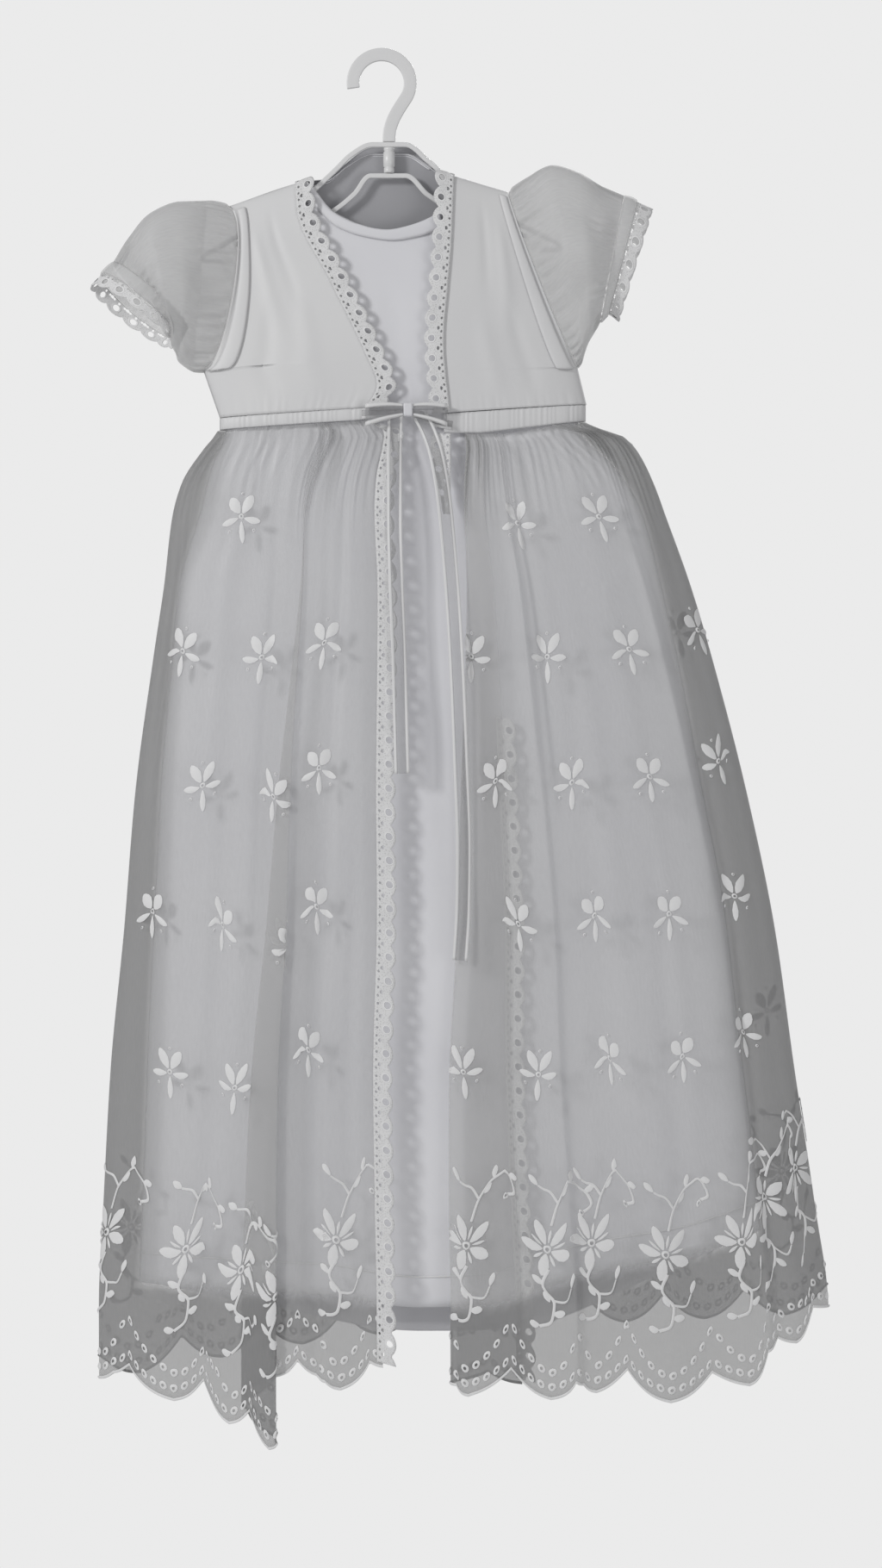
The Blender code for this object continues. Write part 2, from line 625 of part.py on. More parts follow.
def hook_path():
    """Middle line of the hook: three quarters of a ring, then a stem down to its foot."""
    radius = HOOK_INNER_R + HOOK_WIDTH / 2
    path = []
    for step in range(19):
        turn = math.radians(190.0 - 225.0 * step / 18)
        path.append((radius * math.cos(turn), -HOOK_INNER_R + radius * math.sin(turn)))
    x, z = path[-1]
    for share in (0.25, 0.5, 0.75, 0.9):
        path.append((lerp(x, HOOK_FOOT[0], math.sin(share * math.pi / 1.8)),
                     lerp(z, HOOK_FOOT[1], share)))
    path[-1] = (HOOK_FOOT[0], path[-1][1])
    path.append(HOOK_FOOT)
    return path


def make_hanger(plastic):
    strip("hanger_hook", hook_path(), HOOK_WIDTH, HOOK_DEPTH, plastic)
    top = HOOK_FOOT[1] - SEAM - BAR_WIDTH - SEAM
    low = -0.0755
    profile = ((0.0, low), (0.0035, low), (0.0035, low + 0.003), (0.003, low + 0.0035),
               (0.0038, low + 0.004), (0.0038, top - 0.003), (0.003, top - 0.0025),
               (0.0036, top - 0.002), (0.0036, top), (0.0, top))
    turned_solid("hanger_post", profile, (HOOK_FOOT[0], 0.0, 0.0), plastic)
    level = HOOK_FOOT[1] - SEAM - BAR_WIDTH / 2
    arms = ((-0.1105, -0.1262), (-0.080, -0.1075), (-0.0475, -0.0886), (-0.0365, -0.0787),
            (-0.030, -0.0725), (-0.020, -0.0630), (-0.0058, level), (0.0157, level),
            (0.030, -0.0665), (0.037, -0.0725), (0.0475, -0.0856), (0.080, -0.1035),
            (0.1105, -0.1188))
    strip("hanger_arms", arms, BAR_WIDTH, BAR_DEPTH, plastic)
    for word, side, end_z in (("left", -1.0, -0.1262), ("right", 1.0, -0.1188)):
        ring = [(side * (0.1105 + x), end_z + z) for x, z in TIP_RING]
        strip(f"hanger_tip_{word}", ring, TIP_WIDTH, BAR_DEPTH, plastic)
    middle = low - SEAM - BAR_WIDTH / 2
    bar = ((-0.100, -0.1240), (-0.060, -0.1130), (-0.034, -0.1020), (-0.0186, -0.0900),
           (-0.007, middle), (0.016, middle), (0.0307, -0.0900), (0.045, -0.0990),
           (0.075, -0.1110), (0.098, -0.1180))
    strip("hanger_bar", bar, BAR_WIDTH, BAR_DEPTH, plastic)


def make_over_bodice(satin, lace):
    columns = (0.0, SIDE_SHARE, 0.035, 0.085, 0.16, 0.40, 0.70, 0.93, 1.0)
    left = front_panel(OVER_BODY, NECK_LEFT, True, columns)
    right = front_panel(OVER_BODY, NECK_RIGHT, False, columns)
    sheet("over_bodice_front_left", left, satin, CLOTH)
    sheet("over_bodice_front_right", right, satin, CLOTH)
    back = whole_panel(OVER_BODY, OVER_BACK_TOP, False, shaped_columns(OVER_BACK_TOP))
    sheet("over_bodice_back", back, satin, CLOTH, facing_back=True)
    sheet("over_neck_lace_left", edge_trim(left, True, 2), lace, LACE)
    sheet("over_neck_lace_right", edge_trim(right, False, 2), lace, LACE)
    arm_rows = range(2, len(ARM_TURNS))
    sheet("over_armhole_band_left", panel_trim(left, 2, 4, arm_rows), satin, LACE)
    sheet("over_armhole_band_right", panel_trim(right, 4, 6, arm_rows), satin, LACE)


def make_sleeves(organza, lace):
    for side, word, arm, rings in ((-1, "left", OVER_ARM_LEFT, SLEEVE_LEFT),
                                   (1, "right", OVER_ARM_RIGHT, SLEEVE_RIGHT)):
        puff = (0.0, 1.0, 2.0, 3.0, 4.0, CUFF_STATION)
        band = (CUFF_STATION + STATION_GAP, LACE_STATION)
        edging = (LACE_STATION + STATION_GAP, TIP_STATION)
        sleeve_piece(f"over_sleeve_{word}", arm, rings, side, puff, organza, CLOTH)
        sleeve_piece(f"over_cuff_band_{word}", arm, rings, side, band, organza, CLOTH)
        sleeve_piece(f"over_cuff_lace_{word}", arm, rings, side, edging, lace, LACE)


def make_over_skirt(organza, satin, lace):
    waist = OVER_SECTIONS[0]
    width = waist[2] - waist[1]
    left_end = (BAND_LEFT_END - waist[1]) / width
    right_start = (BAND_RIGHT_START - waist[1]) / width
    to_left = (0.0, SIDE_SHARE / left_end, 0.04, 0.10, 0.22, 0.48, 0.75, 1.0)
    to_right = (0.0, 0.26, 0.52, 0.78, 0.90, 0.96, 1.0 - SIDE_SHARE / (1.0 - right_start), 1.0)
    waistband("over_waistband_left", 0.0, left_end, satin, True, to_left)
    waistband("over_waistband_right", right_start, 1.0, satin, True, to_right)
    waistband("over_waistband_back", 0.0, 1.0, satin, False, even_columns(10))
    left = lined_skirt(OVER_LEFT_LINES)
    right = lined_skirt(OVER_RIGHT_LINES)
    sheet("over_skirt_front_left", left, organza, CLOTH, even=False)
    sheet("over_skirt_front_right", right, organza, CLOTH, even=False)
    tops = (WAISTBAND_BACK[0][1] - BAND_GAP, WAISTBAND_BACK[-1][1] - BAND_GAP)
    back = plain_skirt(OVER_SECTIONS, tops, OVER_BACK_HEM, OVER_BACK_FOLDS,
                       even_columns(4 * BACK_SCALLOPS - 8), BACK_ROWS, False, BACK_SCALLOPS)
    sheet("over_skirt_back", back, organza, CLOTH, facing_back=True)
    sheet("over_front_lace_left", edge_trim(left, True), lace, LACE)
    sheet("over_front_lace_right_lower", edge_trim(right, False, LOWER_LACE_ROW), lace, LACE)
    sheet("over_front_lace_right_upper", upper_lace(), lace, LACE)


def make_under_gown(satin):
    for word, top, front in (("front", UNDER_FRONT_TOP, True), ("back", UNDER_BACK_TOP, False)):
        points = whole_panel(UNDER_BODY, top, front, shaped_columns(top))
        sheet(f"under_bodice_{word}", points, satin, CLOTH, facing_back=not front)
        first = 5 if front else 6
        last = len(points) - 1 - first
        binding = panel_trim(points, first, last, range(BINDING_ROWS), front)
        sheet(f"under_neck_binding_{word}", binding, satin, LACE, facing_back=not front)
    tops = (UNDER_BODY.waist_left[1] - SEAM, UNDER_BODY.waist_right[1] - SEAM)
    columns = even_columns(10)
    front = plain_skirt(UNDER_SECTIONS, tops, UNDER_FRONT_HEM, UNDER_FRONT_FOLDS, columns,
                        UNDER_ROWS, True)
    sheet("under_skirt_front", front, satin, CLOTH)
    back = plain_skirt(UNDER_SECTIONS, tops, UNDER_BACK_HEM, UNDER_BACK_FOLDS, columns,
                       UNDER_ROWS, False)
    sheet("under_skirt_back", back, satin, CLOTH, facing_back=True)


def tail_points(path):
    """A hanging tail, which comes from behind the knot and lies on the front of the skirt."""
    places = []
    for x, z in path:
        lying = lookup(OVER_SECTIONS, z, 3) + TAIL_LIFT
        down = min(1.0, (path[0][1] - z) / 0.03)
        places.append(Vector((x, -lerp(TAIL_REACH, lying, down), z)))
    return places


def loop_points(end):
    """A flat loop of ribbon from the knot to its far end and back."""
    toward = 1.0 if end > KNOT[0] else -1.0
    near = KNOT[0] + toward * (KNOT_SIZE[0] / 2 + SEAM)
    far = end - toward * 0.002
    middle = lerp(near, far, 0.5)
    front, back = LOOP_REACH
    rows = ((near, front), (middle, front + 0.001), (far, front), (end, (front + back) / 2),
            (far, back), (middle, back - 0.0005), (near, back))
    return [Vector((x, -reach, KNOT[1])) for x, reach in rows]


def make_knot(organza):
    shape = bmesh.new()
    bmesh.ops.create_cube(shape, size=1.0)
    depth = KNOT_REACH[0] - KNOT_REACH[1]
    bmesh.ops.scale(shape, verts=shape.verts, vec=(KNOT_SIZE[0], depth, KNOT_SIZE[1]))
    bmesh.ops.bevel(shape, geom=shape.edges, offset=0.0018, segments=2, profile=0.5,
                    affect="EDGES", material=-1)
    bmesh.ops.translate(shape, verts=shape.verts, vec=(KNOT[0], -sum(KNOT_REACH) / 2, KNOT[1]))
    mesh = bpy.data.meshes.new("over_tie_knot")
    shape.to_mesh(mesh)
    shape.free()
    mesh.materials.append(organza)
    bpy.context.scene.collection.objects.link(bpy.data.objects.new("over_tie_knot", mesh))


def make_ties(organza):
    upright = Vector((0.0, 0.0, TIE_WIDTH / 2))
    for word, end in (("left", LOOP_LEFT_END), ("right", LOOP_RIGHT_END)):
        points = [[place + upright, place - upright] for place in loop_points(end)]
        sheet(f"over_tie_loop_{word}", points, organza, RIBBON, centred=True)
    for word, route in (("left", TIE_LEFT), ("right", TIE_RIGHT)):
        path = [Vector((x, -reach, z)) for x, reach, z in route]
        ribbon(f"over_tie_{word}", path, KNOT_TIE_WIDTH, organza)
    make_knot(organza)
    ribbon("over_tie_tail_right", tail_points(TAIL_RIGHT), TIE_WIDTH, organza)
    ribbon("over_tie_tail_left", tail_points(TAIL_LEFT), TIE_WIDTH, organza)


def main():
    for item in list(bpy.data.objects):
        bpy.data.objects.remove(item, do_unlink=True)
    satin = material("satin", (0.80, 0.80, 0.82), 0.38)
    organza = material("organza", (0.72, 0.72, 0.74), 0.45, 0.5)
    lace = material("lace", (0.86, 0.86, 0.86), 0.7)
    plastic = material("plastic", (0.86, 0.86, 0.86), 0.3)
    make_hanger(plastic)
    make_under_gown(satin)
    make_over_bodice(satin, lace)
    make_sleeves(organza, lace)
    make_over_skirt(organza, satin, lace)
    make_ties(organza)


main()
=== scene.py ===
# %% [markdown]
# # A christening gown on a child's hanger
# The gown is two layers: a satin under-gown and a sheer over-gown with embroidery and lace.
# Sizes are in metres, +Z is up, and the front faces -Y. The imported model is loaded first,
# because every piece here stands for one of its solids and has to lie where that solid lies.

# %% Load the frame
import math

import bmesh
import bpy
import numpy as np
from mathutils import Matrix, Vector


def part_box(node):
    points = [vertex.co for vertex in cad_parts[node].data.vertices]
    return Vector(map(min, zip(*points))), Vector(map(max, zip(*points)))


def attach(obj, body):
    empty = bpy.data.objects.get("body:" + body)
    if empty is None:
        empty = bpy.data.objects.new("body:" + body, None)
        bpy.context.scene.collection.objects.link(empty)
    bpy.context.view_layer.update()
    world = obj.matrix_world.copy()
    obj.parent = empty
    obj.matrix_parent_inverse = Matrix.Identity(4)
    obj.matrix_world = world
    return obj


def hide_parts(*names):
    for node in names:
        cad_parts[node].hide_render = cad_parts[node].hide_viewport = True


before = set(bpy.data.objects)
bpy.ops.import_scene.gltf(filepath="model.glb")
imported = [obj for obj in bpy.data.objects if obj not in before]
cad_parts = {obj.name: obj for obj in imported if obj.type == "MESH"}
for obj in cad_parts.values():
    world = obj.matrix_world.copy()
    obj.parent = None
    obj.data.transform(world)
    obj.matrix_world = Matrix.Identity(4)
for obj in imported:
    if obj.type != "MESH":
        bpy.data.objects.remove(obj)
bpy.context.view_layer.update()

# %% [markdown]
# ## Camera, light and backdrop
# The gown hangs flat, and it is looked at straight on from three metres. The camera and the
# light come first, so that every later piece can be judged as soon as it is made. One broad
# lamp from the upper left gives the folds their soft shade, and a pale world fills the rest.

# %% Camera and light
VIEW_CENTRE = Vector((0.040, 0.0, -0.487))
VIEW_HEIGHT = 1.056
VIEW_DISTANCE = 3.0
PALE = (0.83, 0.83, 0.83)
AMBIENT = (0.36, 0.36, 0.365)


def add_camera():
    data = bpy.data.cameras.new("camera")
    data.sensor_width = 36.0
    data.lens = data.sensor_width * VIEW_DISTANCE / VIEW_HEIGHT
    data.dof.use_dof = False
    camera = bpy.data.objects.new("camera", data)
    camera.location = VIEW_CENTRE - Vector((0.0, VIEW_DISTANCE, 0.0))
    camera.rotation_euler = (math.pi / 2, 0.0, 0.0)
    bpy.context.scene.collection.objects.link(camera)
    bpy.context.scene.camera = camera


def add_lamp(name, place, target, size, power):
    data = bpy.data.lights.new(name, "AREA")
    data.shape = "DISK"
    data.size = size
    data.energy = power
    lamp = bpy.data.objects.new(name, data)
    lamp.location = place
    lamp.rotation_euler = (Vector(target) - Vector(place)).to_track_quat("-Z", "Y").to_euler()
    bpy.context.scene.collection.objects.link(lamp)


add_camera()
add_lamp("key", (-2.0, -1.9, 0.7), VIEW_CENTRE, 0.6, 31.0)
add_lamp("fill", (1.6, -2.4, -0.8), (0.06, 0.0, -0.50), 1.2, 8.5)
add_lamp("back", (0.6, 2.4, 0.8), VIEW_CENTRE, 1.2, 22.0)
bpy.context.scene.view_settings.view_transform = "Standard"
world = bpy.data.worlds.new("world")
world.use_nodes = True
backdrop = world.node_tree.nodes["Background"]
ray = world.node_tree.nodes.new("ShaderNodeLightPath")
choose = world.node_tree.nodes.new("ShaderNodeMix")
choose.data_type = "RGBA"
choose.inputs[6].default_value = (*AMBIENT, 1.0)
choose.inputs[7].default_value = (*PALE, 1.0)
world.node_tree.links.new(ray.outputs["Is Camera Ray"], choose.inputs[0])
world.node_tree.links.new(choose.outputs[2], backdrop.inputs["Color"])
bpy.context.scene.world = world
print("camera lens", round(bpy.context.scene.camera.data.lens, 1), "mm")

# %% [markdown]
# ## A short way to write finishes
# A finish is a small program of nodes. `Value` wraps a socket so that Python's operators add
# the Math nodes, and `Finish.node` adds any other node from its type, settings and inputs.


# %% Shader helpers
class Value:
    """The output socket of a node, on which Python's operators work."""

    def __init__(self, finish, socket):
        self.finish = finish
        self.socket = socket

    def work(self, operation, *others):
        return self.finish.node("ShaderNodeMath", {"operation": operation}, [self, *others])

    def __add__(self, other):
        return self.work("ADD", other)

    def __mul__(self, other):
        return self.work("MULTIPLY", other)

    def __sub__(self, other):
        return self.work("SUBTRACT", other)

    def __rsub__(self, other):
        return self.finish.node("ShaderNodeMath", {"operation": "SUBTRACT"}, [other, self])

    __radd__ = __add__
    __rmul__ = __mul__

    def step(self, low, high):
        """0 below low, 1 above high, and smooth between them."""
        sockets = {"Value": self, "From Min": low, "From Max": high}
        return self.finish.node("ShaderNodeMapRange", {"interpolation_type": "SMOOTHSTEP"}, sockets)


class Finish:
    """A material whose constants are set on its shader, and whose patterns are nodes."""

    def __init__(self, name, **constants):
        self.material = bpy.data.materials.new(name)
        self.material.use_nodes = True
        self.tree = self.material.node_tree
        self.shader = self.tree.nodes["Principled BSDF"]
        for socket, value in constants.items():
            self.shader.inputs[socket.replace("_", " ")].default_value = value

    def node(self, kind, settings=None, sockets=None, output=0):
        node = self.tree.nodes.new(kind)
        for name, value in (settings or {}).items():
            setattr(node, name, value)
        pairs = sockets.items() if isinstance(sockets, dict) else enumerate(sockets or [])
        for key, value in pairs:
            if isinstance(value, Value):
                self.tree.links.new(value.socket, node.inputs[key])
            else:
                node.inputs[key].default_value = value
        return Value(self, node.outputs[output])

    def feed(self, socket, value):
        self.tree.links.new(value.socket, self.shader.inputs[socket])

    def coordinates(self, which="Object"):
        return self.node("ShaderNodeTexCoord", output=which)

    def noise(self, scale, where=None, detail=2.0):
        sockets = {"Vector": where or self.coordinates(), "Scale": scale, "Detail": detail}
        return self.node("ShaderNodeTexNoise", None, sockets)

    def mixed(self, factor, first, second):
        """A colour between two colours. The Mix node names its sockets alike, so they go by number."""
        sockets = {0: factor, 6: (*first, 1.0), 7: (*second, 1.0)}
        return self.node("ShaderNodeMix", {"data_type": "RGBA"}, sockets, output=2)

    def bump(self, height, distance, strength=1.0):
        sockets = {"Height": height, "Distance": distance, "Strength": strength}
        self.feed("Normal", self.node("ShaderNodeBump", None, sockets))


print("helpers ready")

# %% [markdown]
# ## Smooth curves through short tables
# The solids are faceted, and worn cloth isn't. Each table below repeats the gown's own sizes,
# and `smooth` draws a curve through its rows that never swings past them, so the fine cloth
# stays on its solid. Every new surface is a function of two shares: `u` across the cloth from
# left to right, and `v` down it from top to bottom.


# %% Curves and surfaces
def smooth(at, places, values):
    """Values of a curve through a table's points, without overshoot."""
    places = np.asarray(places, float)
    values = np.asarray(values, float)
    if places[0] > places[-1]:
        places, values = places[::-1], values[::-1]
    step = np.diff(places)
    slope = np.diff(values) / step
    tangent = np.zeros(len(places))
    tangent[0], tangent[-1] = slope[0], slope[-1]
    product = slope[:-1] * slope[1:]
    total = np.where(product > 0, slope[:-1] + slope[1:], 1.0)
    tangent[1:-1] = np.where(product > 0, 2 * product / total, 0.0)
    at = np.clip(at, places[0], places[-1])
    row = np.clip(np.searchsorted(places, at) - 1, 0, len(step) - 1)
    t = (at - places[row]) / step[row]
    return ((2 * t**3 - 3 * t**2 + 1) * values[row] + (3 * t**2 - 2 * t**3) * values[row + 1]
            + (t**3 - 2 * t**2 + t) * step[row] * tangent[row]
            + (t**3 - t**2) * step[row] * tangent[row + 1])


def column(table, index):
    return np.array([row[index] for row in table], float)


def ramp(at, low, high):
    share = np.clip((at - low) / (high - low), 0.0, 1.0)
    return share * share * (3.0 - 2.0 * share)


def lerp(start, end, share):
    return start + (end - start) * share


def swell(share, squareness):
    """How far a rounded section reaches, from 0 at its two sides to 1 in its middle."""
    return np.maximum(0.0, 1.0 - np.abs(2.0 * share - 1.0) ** squareness) ** (1.0 / squareness)


def normals(surface, u, v, step=2e-3):
    """Unit normals of a surface that is drawn left to right and top to bottom."""
    across = surface(np.minimum(u + step, 1.0), v) - surface(np.maximum(u - step, 0.0), v)
    down = surface(u, np.minimum(v + step, 1.0)) - surface(u, np.maximum(v - step, 0.0))
    out = np.cross(down, across)
    return out / np.maximum(np.linalg.norm(out, axis=1), 1e-12)[:, None]


def raised(surface, height, side=1.0):
    """The surface moved out along its normals by a height that changes over it."""
    def moved(u, v):
        return surface(u, v) + side * normals(surface, u, v) * height(u, v)[:, None]
    return moved


def creases(rows, u, v):
    """Soft ridges and troughs placed one by one: where across at the top and at the foot,
    from what share down to what share, height, half width."""
    total = np.zeros_like(u)
    for top, foot, start, end, height, width in rows:
        away = (u - lerp(top, foot, v)) / width
        length = ramp(v, start, lerp(start, end, 0.35)) * (1.0 - ramp(v, lerp(start, end, 0.6), end))
        total += height * np.exp(-away * away) * length
    return total


def gathers(across, count, seed):
    """Uneven little pleats, from -1 to 1: no two are alike in width or depth."""
    chance = np.random.default_rng(seed)
    shift = sum(chance.uniform(0.3, 0.9) * np.sin(math.tau * (k * across + chance.random()))
                for k in (2, 3, 5, 7)) / count
    depth = 0.7 + 0.3 * np.sin(math.tau * (count * 0.23 * across + chance.random()))
    wave = np.sin(math.tau * count * (across + 0.35 * shift))
    return depth * (wave + 0.35 * np.sin(math.tau * (count * 1.7 * across + chance.random()))) / 1.35


print("a curve through 0, 1, 1 at 0.5, 1.5:", smooth(np.array([0.5, 1.5]), [0, 1, 2], [0, 1, 1]))

# %% [markdown]
# ## Making a piece of cloth
# A piece starts as a flat grid. Its corners are moved onto a surface, it gets a UV map in
# metres of cloth, so that weave and lace have their real scale, and Solidify gives it a thin
# wall. `stand_for` then says which solid it stands for, and prints how far the two boxes
# differ.

# %% Cloth builder
THIN = 0.0005


def cloth_mesh(name, surface, across, down, facing_back=False, tube=False, size=None):
    """A fine grid on a surface, with a UV map in metres: across, then down."""
    shape = bmesh.new()
    bmesh.ops.create_grid(shape, x_segments=across, y_segments=down, size=0.5)
    shape.verts.index_update()
    u = np.array([vertex.co.x + 0.5 for vertex in shape.verts])
    v = np.array([0.5 - vertex.co.y for vertex in shape.verts])
    places = surface(u, v)
    wide, long = size or extent(surface)
    sheet_map = shape.loops.layers.uv.new("cloth")
    for face in shape.faces:
        for loop in face.loops:
            number = loop.vert.index
            loop[sheet_map].uv = (u[number] * wide, v[number] * long)
    for vertex, place in zip(shape.verts, places):
        vertex.co = place
    if tube:
        bmesh.ops.remove_doubles(shape, verts=shape.verts, dist=1e-6)
    if facing_back:
        bmesh.ops.reverse_faces(shape, faces=shape.faces)
    mesh = bpy.data.meshes.new(name)
    shape.to_mesh(mesh)
    shape.free()
    mesh.shade_smooth()
    return mesh


def extent(surface, steps=60):
    """Greatest length of the cloth across, and its greatest length down."""
    share = np.linspace(0.0, 1.0, steps + 1)
    u, v = (grid.ravel() for grid in np.meshgrid(share, share, indexing="ij"))
    places = surface(u, v).reshape(steps + 1, steps + 1, 3)
    across = np.linalg.norm(np.diff(places, axis=0), axis=2).sum(axis=0).max()
    down = np.linalg.norm(np.diff(places, axis=1), axis=2).sum(axis=1).max()
    return float(across), float(down)


def piece_name(name):
    """The name of the fine piece, which differs from its solid's name."""
    return "fine_" + name.replace(" ", "_")


def piece_of(name, mesh, finish, wall=0.0, centred=False, inside=None):
    """An object for a mesh, riding on the gown's one body."""
    mesh.materials.append(finish.material)
    # A second finish goes on the inner wall; on the bodices it carries painted shade.
    if inside:
        mesh.materials.append(inside.material)
    piece = bpy.data.objects.new(piece_name(name), mesh)
    bpy.context.scene.collection.objects.link(piece)
    if wall:
        solid = piece.modifiers.new("wall", "SOLIDIFY")
        solid.thickness = wall
        solid.offset = 0.0 if centred else -1.0
        solid.use_even_offset = False
        solid.material_offset = 1 if inside else 0
    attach(piece, "root")
    return piece


def stand_for(piece, *nodes):
    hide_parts(*nodes)
    graph = bpy.context.evaluated_depsgraph_get()
    corners = np.array(piece.evaluated_get(graph).bound_box)
    lows, highs = zip(*(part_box(node) for node in nodes))
    low, high = np.min(lows, axis=0), np.max(highs, axis=0)
    off = max(np.abs(corners.min(axis=0) - low).max(), np.abs(corners.max(axis=0) - high).max())
    print(f"{piece.name}: box within {1000 * off:.1f} mm of {', '.join(nodes)}")


def area_of(mesh):
    return sum(face.area for face in mesh.polygons)


def cut(piece, surface, fullness=1.0):
    across, down = extent(surface)
    area = area_of(piece.data) * fullness
    flat = (max(round(across * fullness, 3), 0.0101), max(round(down, 3), 0.0101))
    area = min(area, flat[0] * flat[1])
    print(f"{piece.name}: cut {1000 * flat[0]:.0f} x {1000 * flat[1]:.0f} mm, {1e4 * area:.0f} cm2")

# %% [markdown]
# ## Finishes
# Satin is a tight weave with a soft sheen, so its roughness wanders a little and a fine bump
# runs along its threads. Organza is sheer: what shows is mostly what lies behind it, so its
# alpha is low. Its base colour carries painted light and shade: where satin backs it, it is
# painted paler for the light that comes back through it, and where it hangs loose it is painted
# darker as shade. That place is stored on the cloth as an attribute named `backed`. Lace gets
# its eyelets from its UV map, which counts metres along the edge, so each hole is a real
# opening in the alpha.

# %% Satin and plastic
def satin_finish(name, light, dark, roughness):
    finish = Finish(name, Sheen_Weight=0.25, Sheen_Roughness=0.4)
    cloud = finish.noise(9.0)
    finish.feed("Base Color", finish.mixed(cloud.step(0.35, 0.65), dark, light))
    finish.feed("Roughness", cloud * 0.10 + roughness)
    threads = finish.node("ShaderNodeMapping", None,
                          {"Vector": finish.coordinates("UV"), "Scale": (2400.0, 160.0, 1.0)})
    finish.bump(finish.noise(1.0, threads, 3.0), 0.00003, 0.3)
    return finish


def plastic_finish():
    finish = Finish("hanger plastic", IOR=1.49)
    cloud = finish.noise(30.0)
    finish.feed("Base Color", finish.mixed(cloud, (0.80, 0.80, 0.80), (0.86, 0.86, 0.86)))
    finish.feed("Roughness", cloud * 0.12 + 0.24)
    finish.bump(finish.noise(260.0), 0.00004, 0.4)
    return finish


satin = satin_finish("satin", (0.850, 0.850, 0.875), (0.815, 0.815, 0.845), 0.34)
bodice_cloth = satin_finish("bodice cloth", (0.80, 0.80, 0.80), (0.755, 0.755, 0.760), 0.46)
# The inner walls of the bodices get a dark satin: painted shade for the shadowed inside of the gown,
# not the cloth's own colour.
painted_shade_inside = satin_finish("satin painted shade inside", (0.44, 0.44, 0.46), (0.38, 0.38, 0.40), 0.6)
plastic = plastic_finish()


# %% Organza, ribbon, lace and thread
def organza_finish(name, loose, backed):
    """Sheer cloth: alpha and colour where it is loose and where satin backs it; a darker loose colour
    is painted shade and a paler backed colour is painted light.
    """
    finish = Finish(name, Roughness=0.55, Sheen_Weight=0.3, Sheen_Roughness=0.5)
    behind = finish.node("ShaderNodeAttribute", {"attribute_name": "backed"}, output="Fac")
    # Painted light and shade: the base colour is pale where satin backs the cloth and dark where it
    # hangs loose.
    finish.feed("Base Color", finish.mixed(behind, (loose[1],) * 3, (backed[1],) * 3))
    threads = finish.node("ShaderNodeMapping", None,
                          {"Vector": finish.coordinates("UV"), "Scale": (900.0, 110.0, 1.0)})
    slub = finish.noise(1.0, threads, 3.0)
    finish.feed("Alpha", behind * (backed[0] - loose[0]) + slub * 0.08 + (loose[0] - 0.04))
    finish.bump(slub, 0.00005, 0.4)
    return finish


def ribbon_finish(width):
    """Sheer ribbon with a woven satin edge on each side."""
    finish = Finish("tie ribbon", Roughness=0.42, Sheen_Weight=0.3)
    parts = finish.node("ShaderNodeSeparateXYZ", None, [finish.coordinates("UV")])
    off_centre = (parts - width / 2).work("ABSOLUTE")
    edge = off_centre.step(width * 0.5 - 0.0024, width * 0.5 - 0.0014)
    finish.feed("Base Color", finish.mixed(edge, (0.42, 0.42, 0.43), (0.84, 0.84, 0.84)))
    finish.feed("Alpha", edge * 0.75 + 0.22)
    finish.bump(edge, 0.0002, 0.6)
    return finish


def lace_finish(name, pitch, eyelet_at, eyelet, small_at):
    """Edging lace: a row of eyelets, a row of small holes by the seam, and raised rims."""
    finish = Finish(name, Roughness=0.72, Sheen_Weight=0.2)
    where = finish.coordinates("UV")
    across = finish.node("ShaderNodeSeparateXYZ", None, [where], output="X")
    along = finish.node("ShaderNodeSeparateXYZ", None, [where], output="Y")

    def hole(at, every, radius, soft):
        cell = ((along * (1.0 / every)).work("FRACT") - 0.5) * every
        offset = across - at
        away = (cell * cell + offset * offset).work("SQRT")
        return away, away.step(radius, radius + soft)

    away, solid = hole(eyelet_at, pitch, eyelet, 0.0003)
    _, small = hole(small_at, pitch / 3.0, 0.0007, 0.0003)
    net = finish.node("ShaderNodeTexVoronoi", {"feature": "DISTANCE_TO_EDGE"},
                      {"Vector": where, "Scale": 700.0})
    mesh_holes = 1.0 - net.step(0.10, 0.30) * away.step(eyelet + 0.0012, eyelet + 0.0018) * 0.22
    half = finish.node("ShaderNodeMath", {"operation": "ADD"}, [along, pitch / 2])
    cell = ((half * (1.0 / pitch)).work("FRACT") - 0.5) * pitch
    offset = across - (eyelet_at - 0.0034)
    between = (cell * cell + offset * offset).work("SQRT").step(0.0011, 0.0014)
    finish.feed("Alpha", solid * small * mesh_holes * between)
    rim = solid - away.step(eyelet + 0.0009, eyelet + 0.0013)
    finish.feed("Base Color", finish.mixed(rim, (0.83, 0.83, 0.83), (0.92, 0.92, 0.92)))
    finish.bump(rim + net * 0.5, 0.0004, 0.7)
    return finish


def thread_finish():
    finish = Finish("embroidery thread", Sheen_Weight=0.3, Sheen_Roughness=0.4)
    grain = finish.noise(1400.0, None, 3.0)
    finish.feed("Base Color", finish.mixed(grain, (0.80, 0.80, 0.80), (0.92, 0.92, 0.92)))
    finish.feed("Roughness", grain * 0.2 + 0.42)
    finish.bump(grain, 0.00025, 0.6)
    return finish


TIE_WIDTH = 0.010
